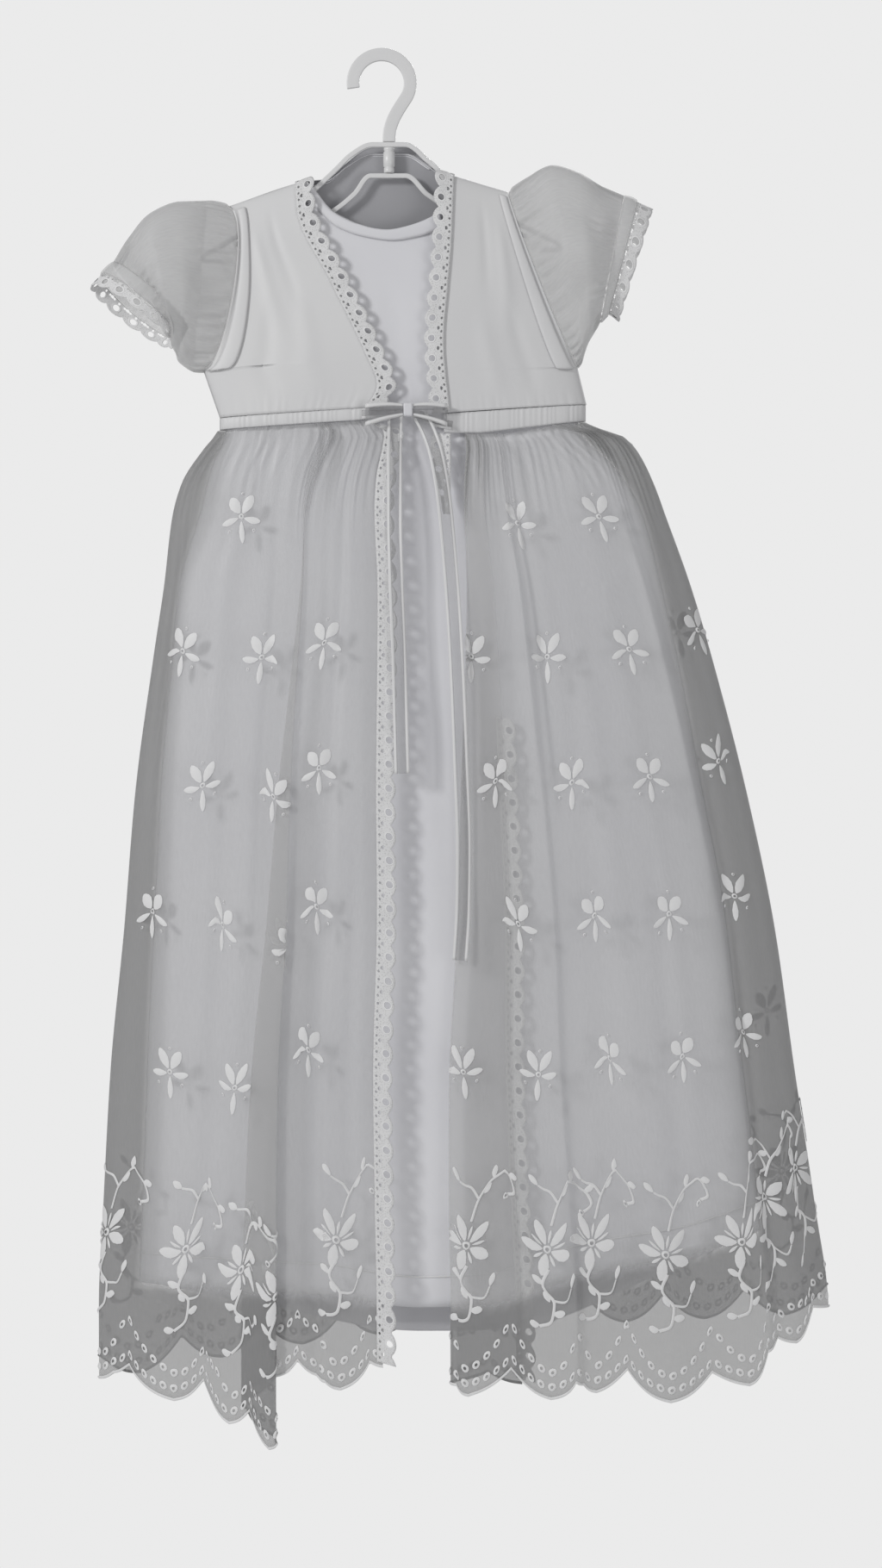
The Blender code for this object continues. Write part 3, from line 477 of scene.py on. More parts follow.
# Colours 0.40 loose and 0.74 backed are painted shade and painted light on one cloth.
organza = organza_finish("organza", (0.50, 0.40), (0.24, 0.74))
sleeve_organza = organza_finish("sleeve organza", (0.42, 0.72), (0.40, 0.72))
ribbon = ribbon_finish(TIE_WIDTH)
neck_lace = lace_finish("neck lace", 0.0135, 0.0085, 0.0019, 0.0022)
front_lace = lace_finish("front lace", 0.0160, 0.0088, 0.0021, 0.0022)
cuff_lace = lace_finish("cuff lace", 0.0120, 0.0050, 0.0019, 0.0015)
thread = thread_finish()
print("finishes", [material.name for material in bpy.data.materials])

# %% [markdown]
# ## The form of the gown
# These tables repeat the part's own sizes: how the armholes run, where the neck edges lie, and
# how wide and deep each skirt is at each height. The functions after them give the bodice and
# skirt surfaces that all the cloth, lace and embroidery is laid on.

# %% Sizes of the bodices
OVER_ARM_LEFT = dict(top=(-0.103, -0.0980), bottom=(-0.120, -0.209), bow=0.013,
                     front=0.0120, back=0.0105)
OVER_ARM_RIGHT = dict(top=(0.085, -0.0885), bottom=(0.132, -0.207), bow=-0.0035,
                      front=0.0120, back=0.0105)
UNDER_ARM_LEFT = dict(top=(-0.093, -0.0963), bottom=(-0.108, -0.200), bow=0.012,
                      front=0.0065, back=0.0060)
UNDER_ARM_RIGHT = dict(top=(0.076, -0.0897), bottom=(0.121, -0.199), bow=-0.003,
                       front=0.0065, back=0.0060)
ROUNDING = 0.6
WAIST_SQUARENESS = 2.6
HEM_SQUARENESS = 2.0
ARMHOLE_SHARE = 0.8
OVER_BODY = dict(left=OVER_ARM_LEFT, right=OVER_ARM_RIGHT, waist_left=(-0.109, -0.2407),
                 waist_right=(0.138, -0.2317), front=(0.0145, 0.0175), back=(0.0130, 0.0155))
UNDER_BODY = dict(left=UNDER_ARM_LEFT, right=UNDER_ARM_RIGHT, waist_left=(-0.104, -0.2380),
                  waist_right=(0.131, -0.2340), front=(0.0085, 0.0115), back=(0.0080, 0.0105))
# Neck edges: height, place across.
NECK_LEFT = ((-0.0815, -0.054), (-0.100, -0.053), (-0.150, -0.030), (-0.198, -0.007),
             (-0.220, 0.001), (-0.2347, -0.006))
NECK_RIGHT = ((-0.0765, 0.045), (-0.125, 0.043), (-0.150, 0.041), (-0.190, 0.038),
              (-0.2385, 0.042))
# Top edges across the whole body: place across, height, depth from the shoulder line.
OVER_BACK_TOP = ((-0.103, -0.0980, 0.0), (-0.054, -0.0815, 0.0008), (-0.046, -0.0800, 0.0025),
                 (-0.0365, -0.0785, 0.0060), (-0.028, -0.0705, 0.0080),
                 (-0.0058, -0.0565, 0.0100), (0.0157, -0.0565, 0.0100),
                 (0.032, -0.0670, 0.0080), (0.040, -0.0730, 0.0060), (0.045, -0.0765, 0.0025),
                 (0.056, -0.0798, 0.0008), (0.085, -0.0885, 0.0))
UNDER_BACK_TOP = ((-0.093, -0.0963, 0.0), (-0.052, -0.0840, 0.0008), (-0.046, -0.0835, 0.0026),
                  (-0.0365, -0.0815, 0.0030), (-0.024, -0.0710, 0.0045),
                  (-0.0058, -0.0620, 0.0055), (0.0157, -0.0620, 0.0055),
                  (0.032, -0.0710, 0.0045), (0.048, -0.0815, 0.0026), (0.054, -0.0832, 0.0008),
                  (0.076, -0.0897, 0.0))
UNDER_FRONT_TOP = ((-0.093, -0.0963, 0.0), (-0.052, -0.0835, 0.0008), (-0.046, -0.0900, 0.0035),
                   (-0.040, -0.0980, 0.0050), (-0.034, -0.1035, 0.0065),
                   (-0.018, -0.1110, 0.0080), (0.0035, -0.1150, 0.0085),
                   (0.018, -0.1123, 0.0080), (0.0365, -0.1050, 0.0065),
                   (0.048, -0.0945, 0.0040), (0.054, -0.0832, 0.0008), (0.076, -0.0897, 0.0))


# %% Bodice surfaces
def side_line(arm, waist, v, front):
    """The edge of a bodice at a share down: on its armhole, then on its side seam."""
    turn = math.pi * np.clip(v / ARMHOLE_SHARE, 0.0, 1.0)
    down = np.clip((v - ARMHOLE_SHARE) / (1.0 - ARMHOLE_SHARE), 0.0, 1.0)
    along = (1.0 - np.cos(turn)) / 2.0
    sine = np.abs(np.sin(turn))
    x = lerp(arm["top"][0], arm["bottom"][0], along) + arm["bow"] * sine
    z = lerp(arm["top"][1], arm["bottom"][1], along)
    reach = (arm["front"] if front else arm["back"]) * sine**ROUNDING
    return lerp(x, waist[0], down), reach, lerp(z, waist[1], down)


def body_depth(body, v, front):
    """Reach of the middle of a bodice, and how much of it the shoulder has let go."""
    turn = math.pi * np.clip(v / ARMHOLE_SHARE, 0.0, 1.0)
    rise = np.sin(np.minimum(turn, math.pi / 2)) ** ROUNDING
    top, waist = body["front" if front else "back"]
    return rise, rise * lerp(top, waist, height_share(v))


def height_share(v):
    """How far down a bodice's height a row lies, so that folds run evenly past the armhole."""
    round_arm = 0.78 * (1.0 - np.cos(math.pi * np.clip(v / ARMHOLE_SHARE, 0.0, 1.0))) / 2.0
    return round_arm + 0.22 * np.clip((v - ARMHOLE_SHARE) / (1.0 - ARMHOLE_SHARE), 0.0, 1.0)


def body_reach(left, right, depth, share):
    edge = lerp(left, right, share)
    full = swell(share, WAIST_SQUARENESS)
    return np.maximum(depth * full + edge * (1.0 - full) ** 2, 0.0002)


def front_surface(body, neck, on_left):
    """A front that ends at a neck edge."""
    def surface(u, v):
        left = side_line(body["left"], body["waist_left"], v, True)
        right = side_line(body["right"], body["waist_right"], v, True)
        outer, arm = (left, body["left"]) if on_left else (right, body["right"])
        waist = body["waist_left"] if on_left else body["waist_right"]
        down = (outer[2] - arm["top"][1]) / (waist[1] - arm["top"][1])
        neck_z = lerp(neck[0][0], neck[-1][0], down)
        neck_x = smooth(neck_z, column(neck, 0), column(neck, 1))
        across = u if on_left else 1.0 - u
        x = lerp(outer[0], neck_x, across)
        share = np.clip((x - left[0]) / (right[0] - left[0]), 0.0, 1.0)
        y = body_reach(left[1], right[1], body_depth(body, v, True)[1], share)
        return np.stack([x, -y, lerp(outer[2], neck_z, across)], axis=1)
    return surface


def whole_surface(body, top, front):
    """A front or back that crosses the body under a shaped top edge."""
    def surface(u, v):
        left = side_line(body["left"], body["waist_left"], v, front)
        right = side_line(body["right"], body["waist_right"], v, front)
        start, end = body["left"]["top"], body["right"]["top"]
        top_x = lerp(start[0], end[0], u)
        straight = lerp(start[1], end[1], u)
        down = (start[1] - left[2]) / (start[1] - body["waist_left"][1])
        shaped = smooth(top_x, column(top, 0), column(top, 1))
        z = lerp(left[2], right[2], u) + (shaped - straight) * (1.0 - down) ** 3
        rise, depth = body_depth(body, v, front)
        y = body_reach(left[1], right[1], depth, u)
        y = y + smooth(top_x, column(top, 0), column(top, 2)) * (1.0 - rise)
        return np.stack([lerp(left[0], right[0], u), -y if front else y, z], axis=1)
    return surface


probe = front_surface(OVER_BODY, NECK_LEFT, True)(np.array([1.0]), np.array([1.0]))[0]
print("foot of the left neck edge", [round(value, 4) for value in probe])

# %% Sizes of the skirts
# Height, left and right outline, reach of the front and of the back.
OVER_SECTIONS = (
    (-0.2465, -0.1090, 0.1375, 0.0175, 0.0155), (-0.2520, -0.1120, 0.1610, 0.0190, 0.0165),
    (-0.2610, -0.1195, 0.1710, 0.0215, 0.0180), (-0.2840, -0.1345, 0.1830, 0.0255, 0.0205),
    (-0.3070, -0.1410, 0.1915, 0.0280, 0.0225), (-0.3530, -0.1465, 0.2080, 0.0315, 0.0245),
    (-0.4000, -0.1535, 0.2220, 0.0345, 0.0260), (-0.4930, -0.1660, 0.2460, 0.0385, 0.0285),
    (-0.5850, -0.1735, 0.2650, 0.0415, 0.0305), (-0.6780, -0.1825, 0.2780, 0.0440, 0.0320),
    (-0.7710, -0.1875, 0.2920, 0.0460, 0.0330), (-0.8390, -0.1905, 0.3010, 0.0475, 0.0340),
    (-0.9300, -0.1900, 0.3020, 0.0490, 0.0345))
UNDER_SECTIONS = (
    (-0.2383, -0.104, 0.131, 0.0115, 0.0105), (-0.2500, -0.105, 0.134, 0.0120, 0.0110),
    (-0.2740, -0.115, 0.158, 0.0140, 0.0120), (-0.3020, -0.122, 0.175, 0.0155, 0.0130),
    (-0.3540, -0.137, 0.189, 0.0180, 0.0145), (-0.4180, -0.143, 0.203, 0.0210, 0.0160),
    (-0.4870, -0.149, 0.216, 0.0240, 0.0175), (-0.5670, -0.153, 0.231, 0.0265, 0.0185),
    (-0.6440, -0.157, 0.240, 0.0285, 0.0195), (-0.7300, -0.160, 0.250, 0.0300, 0.0205),
    (-0.8600, -0.165, 0.262, 0.0315, 0.0215))
# Lines that a front's cloth follows: share of the width at the waist and at the hem, lift off
# the section there, height of the hem.
LEFT_LINES = (
    (0.000, 0.000, 0.0000, 0.0000, -0.887), (0.020, 0.022, 0.0000, 0.0000, -0.882),
    (0.045, 0.045, 0.0000, 0.0005, -0.876), (0.095, 0.106, 0.0000, 0.0030, -0.898),
    (0.140, 0.147, 0.0005, 0.0015, -0.884), (0.185, 0.182, 0.0000, 0.0050, -0.912),
    (0.222, 0.210, 0.0010, 0.0075, -0.903), (0.255, 0.236, 0.0020, 0.0085, -0.928),
    (0.272, 0.246, 0.0020, 0.0070, -0.925), (0.278, 0.242, 0.0012, 0.0048, -0.920),
    (0.288, 0.206, 0.0002, 0.0036, -0.902), (0.298, 0.199, -0.0008, 0.0018, -0.899),
    (0.306, 0.205, -0.0005, 0.0000, -0.897), (0.325, 0.245, 0.0000, 0.0000, -0.881),
    (0.345, 0.275, 0.0010, 0.0015, -0.870), (0.362, 0.300, 0.0000, -0.0015, -0.880),
    (0.375, 0.312, 0.0010, 0.0025, -0.884), (0.395, 0.333, 0.0000, 0.0015, -0.889),
    (0.415, 0.372, 0.0005, 0.0000, -0.871), (0.430, 0.390, 0.0000, 0.0000, -0.874))
RIGHT_LINES = (
    (0.645, 0.578, -0.0036, -0.0085, -0.886), (0.635, 0.532, -0.0036, -0.0085, -0.878),
    (0.620, 0.490, -0.0030, -0.0075, -0.884), (0.613, 0.481, -0.0014, -0.0040, -0.885),
    (0.619, 0.489, 0.0000, -0.0003, -0.886), (0.636, 0.505, 0.0005, 0.0000, -0.893),
    (0.652, 0.563, 0.0000, 0.0005, -0.875), (0.668, 0.616, 0.0005, 0.0030, -0.895),
    (0.682, 0.650, 0.0010, 0.0055, -0.884), (0.694, 0.661, 0.0000, 0.0010, -0.886),
    (0.708, 0.678, 0.0000, 0.0000, -0.891), (0.745, 0.720, 0.0010, 0.0010, -0.876),
    (0.795, 0.778, 0.0000, 0.0030, -0.898), (0.845, 0.835, 0.0010, 0.0005, -0.879),
    (0.890, 0.886, 0.0000, 0.0030, -0.888), (0.918, 0.912, 0.0010, 0.0040, -0.866),
    (0.932, 0.926, 0.0000, 0.0005, -0.857), (0.960, 0.952, 0.0005, 0.0010, -0.861),
    (0.980, 0.976, 0.0000, 0.0000, -0.838), (1.000, 1.000, 0.0000, 0.0000, -0.839))
BACK_HEM = ((0.0, -0.882), (0.15, -0.868), (0.5, -0.848), (0.85, -0.841), (1.0, -0.834))
UNDER_FRONT_HEM = ((0.0, -0.822), (0.14, -0.825), (0.3, -0.828), (0.45, -0.836), (0.55, -0.834),
                   (0.70, -0.815), (0.87, -0.803), (1.0, -0.787))
UNDER_BACK_HEM = ((0.0, -0.822), (0.2, -0.840), (0.45, -0.858), (0.6, -0.856), (0.8, -0.825),
                  (1.0, -0.787))
# Lower edge of the waistband: place across, height, height of the band.
WAISTBAND = ((-0.109, -0.2490, 0.0080), (-0.008, -0.2430, 0.0080), (0.042, -0.2520, 0.0130),
             (0.067, -0.2520, 0.0147), (0.138, -0.2430, 0.0110))
WAISTBAND_BACK = ((-0.109, -0.2490, 0.0080), (0.138, -0.2430, 0.0110))
BAND_GAP = 0.0005
SCALLOP_DEPTH = 0.019
BACK_SCALLOPS = 9


# %% Skirt surfaces
def on_section(sections, z, share, lift, front):
    """A point of a skirt at a height and a share of its width, lifted off its section."""
    heights = column(sections, 0)
    left = smooth(z, heights, column(sections, 1))
    right = smooth(z, heights, column(sections, 2))
    depth = smooth(z, heights, column(sections, 3 if front else 4))
    down = (z - heights[0]) / (heights[-1] - heights[0])
    squareness = lerp(WAIST_SQUARENESS, HEM_SQUARENESS, np.clip(4.0 * down, 0.0, 1.0))
    y = np.maximum(depth * swell(share, squareness) + lift, 0.0002)
    return np.stack([lerp(left, right, share), -y if front else y, z], axis=1)


def scalloped(place, hems):
    """Hem height between valleys and pointed tips: each side of a scallop bulges outward."""
    row = np.clip(place.astype(int), 0, len(hems) - 2)
    t = place - row
    start, end = hems[row], hems[row + 1]
    falling = t + 0.22 * np.sin(math.pi * t)
    rising = 1.0 - (1.0 - t + 0.22 * np.sin(math.pi * (1.0 - t)))
    return lerp(start, end, np.where(end < start, falling, rising))


def lined_surface(lines):
    """An over-gown front, whose cloth follows its lines."""
    places = np.arange(len(lines))
    waist = OVER_SECTIONS[0]

    def hem(u):
        return scalloped(u * places[-1], column(lines, 4))

    def top(u):
        share = smooth(u * places[-1], places, column(lines, 0))
        x = lerp(waist[1], waist[2], share)
        return np.interp(x, column(WAISTBAND, 0), column(WAISTBAND, 1)) - BAND_GAP

    def surface(u, v):
        at = [smooth(u * places[-1], places, column(lines, index)) for index in range(4)]
        eased = 1.0 - (1.0 - v) ** 2
        share = lerp(at[0], at[1], eased)
        lift = lerp(at[2], at[3], eased)
        return on_section(OVER_SECTIONS, lerp(top(u), hem(u), v), share, lift, True)

    return surface, top, hem


def plain_surface(sections, tops, hems, folds, front, scallops=0):
    """A skirt panel across the whole body, with soft folds that deepen to the hem."""
    count, waist_lift, hem_lift = folds

    def hem(u):
        height = smooth(u, column(hems, 0), column(hems, 1))
        if scallops:
            phase = np.abs(np.mod(scallops * u, 1.0) - 0.5) * 2.0
            height = height + SCALLOP_DEPTH * (phase - 0.22 * np.sin(math.pi * phase) - 0.5)
        return height

    def top(u):
        return lerp(tops[0], tops[1], u)

    def surface(u, v):
        share = (1.0 - np.cos(math.pi * u)) / 2.0 * 0.35 + u * 0.65
        fade = swell(share, HEM_SQUARENESS)
        lift = np.sin(math.tau * count * share) * fade * lerp(waist_lift, hem_lift, v)
        z = lerp(top(share), hem(share), v)
        return on_section(sections, z, share, lift, front)

    return surface, top, hem


def under_waist(body):
    return body["waist_left"][1] - 0.0003, body["waist_right"][1] - 0.0003


left_skirt, left_top, left_hem = lined_surface(LEFT_LINES)
right_skirt, right_top, right_hem = lined_surface(RIGHT_LINES)
back_skirt, back_top, back_hem = plain_surface(
    OVER_SECTIONS, [row[1] - BAND_GAP for row in WAISTBAND_BACK], BACK_HEM,
    (5.0, 0.0005, 0.0045), False, BACK_SCALLOPS)
under_front_skirt, _, _ = plain_surface(UNDER_SECTIONS, under_waist(UNDER_BODY), UNDER_FRONT_HEM,
                                        (6.0, 0.0004, 0.0016), True)
under_back_skirt, _, _ = plain_surface(UNDER_SECTIONS, under_waist(UNDER_BODY), UNDER_BACK_HEM,
                                       (5.0, 0.0004, 0.0014), False)
print("hem of the left front from", round(float(left_hem(np.array([0.0]))[0]), 3))

# %% [markdown]
# ## The under-gown
# On the real gown each satin panel is cut flat and sewn at the shoulders and sides, and the
# long skirt is gathered into the waist. A simulation would lose the set of the hang, so the
# cloth is laid on its form and its folds are placed one by one, each with its own length. A round
# binding of the same satin finishes the neck.


# %% Under-gown bodice
def under_bodice(word, top, front):
    base = whole_surface(UNDER_BODY, top, front)
    folds = ((0.30, 0.36, 0.15, 0.80, 0.0007, 0.05), (0.50, 0.52, 0.30, 1.00, -0.0007, 0.04),
             (0.66, 0.60, 0.10, 0.70, 0.0006, 0.05))

    def height(u, v):
        v = height_share(v)
        pleats = 0.0003 * gathers(u, 22, 3) * ramp(v, 0.75, 1.0)
        return (creases(folds, u, v) + pleats) * ramp(np.minimum(u, 1.0 - u), 0.0, 0.08)

    surface = raised(base, height, 1.0 if front else -1.0)
    mesh = cloth_mesh(f"under bodice {word}", surface, 90, 60, facing_back=not front)
    piece = piece_of(mesh.name, mesh, satin, THIN, inside=painted_shade_inside)
    stand_for(piece, f"under_bodice_{word}")
    cut(piece, base)


under_bodice("front", UNDER_FRONT_TOP, True)
under_bodice("back", UNDER_BACK_TOP, False)


# %% Under-gown neck binding
def neck_binding(word, top, low, high, front):
    base = whole_surface(UNDER_BODY, top, front)

    def surface(u, v):
        def lift(_, down):
            return 0.0014 + 0.0009 * np.sin(math.pi * v) ** 0.6
        return raised(base, lift, 1.0 if front else -1.0)(lerp(low, high, u), 0.178 * v)

    mesh = cloth_mesh(f"under neck binding {word}", surface, 80, 8, facing_back=not front)
    piece = piece_of(mesh.name, mesh, satin, THIN)
    stand_for(piece, f"under_neck_binding_{word}")
    cut(piece, surface)


neck_binding("front", UNDER_FRONT_TOP, 0.225, 0.780, True)
neck_binding("back", UNDER_BACK_TOP, 0.30, 0.745, False)


# %% Under-gown skirt
def under_skirt(word, base, folds, front):
    def height(u, v):
        pleats = 0.0011 * gathers(u, 30, 5 if front else 6) * (1.0 - ramp(v, 0.0, 0.16))
        return (creases(folds, u, v) + pleats) * ramp(np.minimum(u, 1.0 - u), 0.0, 0.05)

    surface = raised(base, height, 1.0 if front else -1.0)
    mesh = cloth_mesh(f"under skirt {word}", surface, 150, 90, facing_back=not front)
    piece = piece_of(mesh.name, mesh, satin, THIN)
    stand_for(piece, f"under_skirt_{word}")
    cut(piece, base, fullness=1.25)
    under_cloth[word] = surface


under_cloth = {}
under_skirt("front", under_front_skirt, (
    (0.14, 0.10, 0.02, 0.55, 0.0016, 0.022), (0.27, 0.22, 0.00, 0.85, -0.0018, 0.030),
    (0.39, 0.37, 0.05, 1.00, 0.0020, 0.026), (0.50, 0.52, 0.00, 0.60, -0.0014, 0.020),
    (0.58, 0.61, 0.10, 1.00, 0.0018, 0.028), (0.70, 0.76, 0.00, 0.70, -0.0016, 0.024),
    (0.83, 0.88, 0.04, 0.95, 0.0015, 0.025)), True)
under_skirt("back", under_back_skirt, (
    (0.18, 0.14, 0.00, 0.75, -0.0016, 0.026), (0.34, 0.31, 0.04, 1.00, 0.0018, 0.030),
    (0.52, 0.50, 0.00, 0.55, -0.0015, 0.022), (0.66, 0.70, 0.08, 1.00, 0.0016, 0.028),
    (0.82, 0.87, 0.00, 0.65, -0.0014, 0.024)), False)

# %% [markdown]
# ## The over-gown bodice
# Its two fronts cross the shoulder and stop at the open V neck, and its back crosses the whole
# body. The cloth pulls gently from the armhole to the waist, where it is sewn to the band. A
# doubled band of the same cloth neatens each armhole seam.


# %% Over-gown bodice
def over_panel(name, node, base, folds, front, across, seed):
    def height(u, v):
        v = height_share(v)
        pleats = 0.0003 * gathers(u, across // 5, seed) * ramp(v, 0.88, 1.0)
        away = ramp(np.minimum(u, 1.0 - u), 0.0, 0.10)
        return (creases(folds, u, v) + pleats) * away * ramp(v, 0.0, 0.06)

    surface = raised(base, height, 1.0 if front else -1.0)
    mesh = cloth_mesh(name, surface, across, 70, facing_back=not front)
    piece = piece_of(name, mesh, bodice_cloth, THIN, inside=painted_shade_inside)
    stand_for(piece, node)
    cut(piece, base)


left_front = front_surface(OVER_BODY, NECK_LEFT, True)
right_front = front_surface(OVER_BODY, NECK_RIGHT, False)
back_panel = whole_surface(OVER_BODY, OVER_BACK_TOP, False)
over_panel("over bodice front left", "over_bodice_front_left", left_front, (
    (0.20, 0.55, 0.10, 0.75, 0.0011, 0.07), (0.48, 0.72, 0.05, 0.60, -0.0008, 0.06),
    (0.30, 0.36, 0.45, 1.00, -0.0010, 0.06), (0.66, 0.60, 0.40, 1.00, 0.0009, 0.07)),
    True, 80, 11)
over_panel("over bodice front right", "over_bodice_front_right", right_front, (
    (0.78, 0.45, 0.10, 0.70, 0.0011, 0.07), (0.55, 0.32, 0.05, 0.55, -0.0008, 0.06),
    (0.62, 0.66, 0.45, 1.00, -0.0010, 0.06), (0.34, 0.40, 0.50, 1.00, 0.0009, 0.07)),
    True, 80, 12)
over_panel("over bodice back", "over_bodice_back", back_panel, (
    (0.22, 0.30, 0.10, 0.80, 0.0010, 0.04), (0.38, 0.42, 0.30, 1.00, -0.0010, 0.04),
    (0.55, 0.52, 0.15, 0.90, 0.0009, 0.05), (0.74, 0.66, 0.10, 0.75, -0.0009, 0.04)),
    False, 120, 13)


# %% Armhole bands
def armhole_band(word, base, low, high):
    def surface(u, v):
        def lift(_, down):
            return 0.0013 + 0.0007 * np.sin(math.pi * u) ** 0.7
        return raised(base, lift)(lerp(low, high, u), lerp(0.10, ARMHOLE_SHARE, v))

    mesh = cloth_mesh(f"over armhole band {word}", surface, 6, 60)
    piece = piece_of(mesh.name, mesh, bodice_cloth, THIN)
    stand_for(piece, f"over_armhole_band_{word}")
    cut(piece, surface)


armhole_band("left", left_front, 0.035, 0.16)
armhole_band("right", right_front, 0.84, 0.965)

# %% [markdown]
# ## The puffed sleeves
# A real puff is a wide piece of organza gathered into the armhole and again into the cuff, so
# the cloth stands out between them. Each sleeve is a tube round its rings, with its seam under
# the arm. Pleats run out from the armhole and in from the cuff, and a few soft folds cross.

# %% Sleeve form
# Rings: top x and z, bottom x and z, reach to the front and back, turn of the front rim.
SLEEVE_LEFT = (
    (-0.116, -0.0945, -0.126, -0.2095, 0.023, 0.0180, 0.000),
    (-0.135, -0.0948, -0.133, -0.2060, 0.033, 0.0250, 0.001),
    (-0.156, -0.1030, -0.138, -0.2000, 0.035, 0.0270, 0.002),
    (-0.1705, -0.1195, -0.137, -0.1920, 0.030, 0.0240, 0.003),
    (-0.181, -0.1365, -0.131, -0.1790, 0.020, 0.0170, 0.004),
    (-0.189, -0.1445, -0.137, -0.1865, 0.019, 0.0165, 0.005),
    (-0.1965, -0.1520, -0.1405, -0.1930, 0.019, 0.0165, 0.005))
SLEEVE_RIGHT = (
    (0.098, -0.0795, 0.135, -0.2035, 0.023, 0.0180, 0.0),
    (0.115, -0.0705, 0.137, -0.1970, 0.031, 0.0250, 0.0),
    (0.132, -0.0750, 0.1395, -0.1900, 0.033, 0.0270, 0.0),
    (0.149, -0.0855, 0.1435, -0.1830, 0.028, 0.0240, 0.0),
    (0.163, -0.0915, 0.147, -0.1760, 0.019, 0.0165, 0.0),
    (0.172, -0.0950, 0.1525, -0.1710, 0.018, 0.0155, 0.0),
    (0.183, -0.1000, 0.160, -0.1760, 0.018, 0.0155, 0.0))
CUFF, LACE, TIPS = 5.0, 6.0, 7.0


def sleeve_tube(arm, rings, side):
    """A sleeve by turn and station. The turn starts under the arm, where the seam is."""
    first = (arm["top"][0] + side * 0.0008, arm["top"][1], arm["bottom"][0] + side * 0.0008,
             arm["bottom"][1], arm["front"], arm["back"], 0.0)
    rows = (first, *rings)
    stations = np.arange(len(rows))

    def tube(u, station):
        turn = math.tau * (u + 0.5)
        sine = np.sin(turn)
        along = (1.0 - np.cos(turn)) / 2.0
        ring = [smooth(station, stations, column(rows, index)) for index in range(7)]
        power = lerp(ROUNDING, 1.0, np.clip(station, 0.0, 1.0))
        bow = arm["bow"] * np.clip(1.0 - station, 0.0, 1.0) * np.abs(sine)
        reach = np.where(sine > 0.0, -ring[4], ring[5]) * np.abs(sine) ** power
        x = lerp(ring[0], ring[2], along) - side * 0.5 * ring[6] * sine + bow
        return np.stack([x, reach, lerp(ring[1], ring[3], along) + ring[6] * sine], axis=1)

    return tube


def between(tube, start, end):
    def surface(u, v):
        return tube(u, lerp(start, end, v))
    return surface


# %% Sleeves, cuff bands and cuff lace
def sleeve(word, arm, rings, side, seed, folds):
    tube = sleeve_tube(arm, rings, side)
    base = between(tube, 0.0, CUFF)
    outward = -side

    def height(u, v):
        pleats = 0.0019 * gathers(u, 34, seed) * (1.0 - ramp(v, 0.02, 0.42)) * ramp(v, 0.0, 0.05)
        cuffs = 0.0013 * gathers(u, 30, seed + 1) * ramp(v, 0.62, 0.90)
        return (pleats + cuffs + creases(folds, u, v)) * ramp(np.minimum(u, 1.0 - u), 0.0, 0.03)

    mesh = cloth_mesh(f"over sleeve {word}", raised(base, height, outward), 260, 70,
                      facing_back=side > 0, tube=True)
    piece = piece_of(mesh.name, mesh, sleeve_organza, THIN)
    stand_for(piece, f"over_sleeve_{word}")
    cut(piece, base, fullness=1.3)

    def doubled(u, v):
        return (0.0008 + 0.0009 * np.sin(math.pi * v) ** 0.5
                + 0.0003 * gathers(u, 26, seed + 2) * ramp(np.minimum(u, 1.0 - u), 0.0, 0.03))

    band = between(tube, CUFF + 0.02, LACE)
    mesh = cloth_mesh(f"over cuff band {word}", raised(band, doubled, outward), 180, 12,
                      facing_back=side > 0, tube=True)
    piece = piece_of(mesh.name, mesh, sleeve_organza, 0.0011)
    stand_for(piece, f"over_cuff_band_{word}")
    cut(piece, band)
    cuff_edging(word, tube, side, seed)


def cuff_edging(word, tube, side, seed):
    pitch = 0.012
    turns = np.linspace(0.0, 1.0, 200)
    rim = tube(turns, np.full(200, 6.5))
    count = round(np.linalg.norm(np.diff(rim, axis=0), axis=1).sum() / pitch)

    def surface(u, v):
        dip = 0.24 * (1.0 - np.abs(np.sin(math.pi * count * v)) ** 0.7)
        station = LACE + 0.02 + u * (TIPS - LACE - 0.02 - dip)
        wave = 0.0007 * u * np.sin(math.tau * 7 * v + seed)
        place = tube(v, station)
        return place + np.stack([0 * u, wave, 0 * u], axis=1)

    mesh = cloth_mesh(f"over cuff lace {word}", surface, 8, 12 * count,
                      facing_back=side < 0, tube=True, size=(0.0095, count * pitch))
    piece = piece_of(mesh.name, mesh, cuff_lace, THIN)
    stand_for(piece, f"over_cuff_lace_{word}")
    cut(piece, surface)


sleeve("left", OVER_ARM_LEFT, SLEEVE_LEFT, -1, 21, (
    (0.58, 0.62, 0.10, 0.80, 0.0030, 0.040), (0.68, 0.70, 0.20, 0.95, -0.0026, 0.035),
    (0.77, 0.74, 0.08, 0.90, 0.0032, 0.038), (0.86, 0.85, 0.15, 0.80, -0.0024, 0.036),
    (0.93, 0.90, 0.20, 0.90, 0.0022, 0.025), (0.20, 0.26, 0.10, 0.90, 0.0026, 0.040),
    (0.36, 0.38, 0.15, 0.80, -0.0024, 0.040)))
sleeve("right", OVER_ARM_RIGHT, SLEEVE_RIGHT, 1, 25, (
    (0.56, 0.60, 0.10, 0.85, 0.0028, 0.038), (0.66, 0.67, 0.18, 0.90, -0.0026, 0.034),
    (0.74, 0.76, 0.06, 0.95, 0.0032, 0.040), (0.84, 0.82, 0.15, 0.80, -0.0026, 0.034),
    (0.92, 0.90, 0.20, 0.90, 0.0022, 0.025), (0.18, 0.22, 0.12, 0.90, 0.0026, 0.040),
    (0.34, 0.37, 0.10, 0.80, -0.0024, 0.036)))

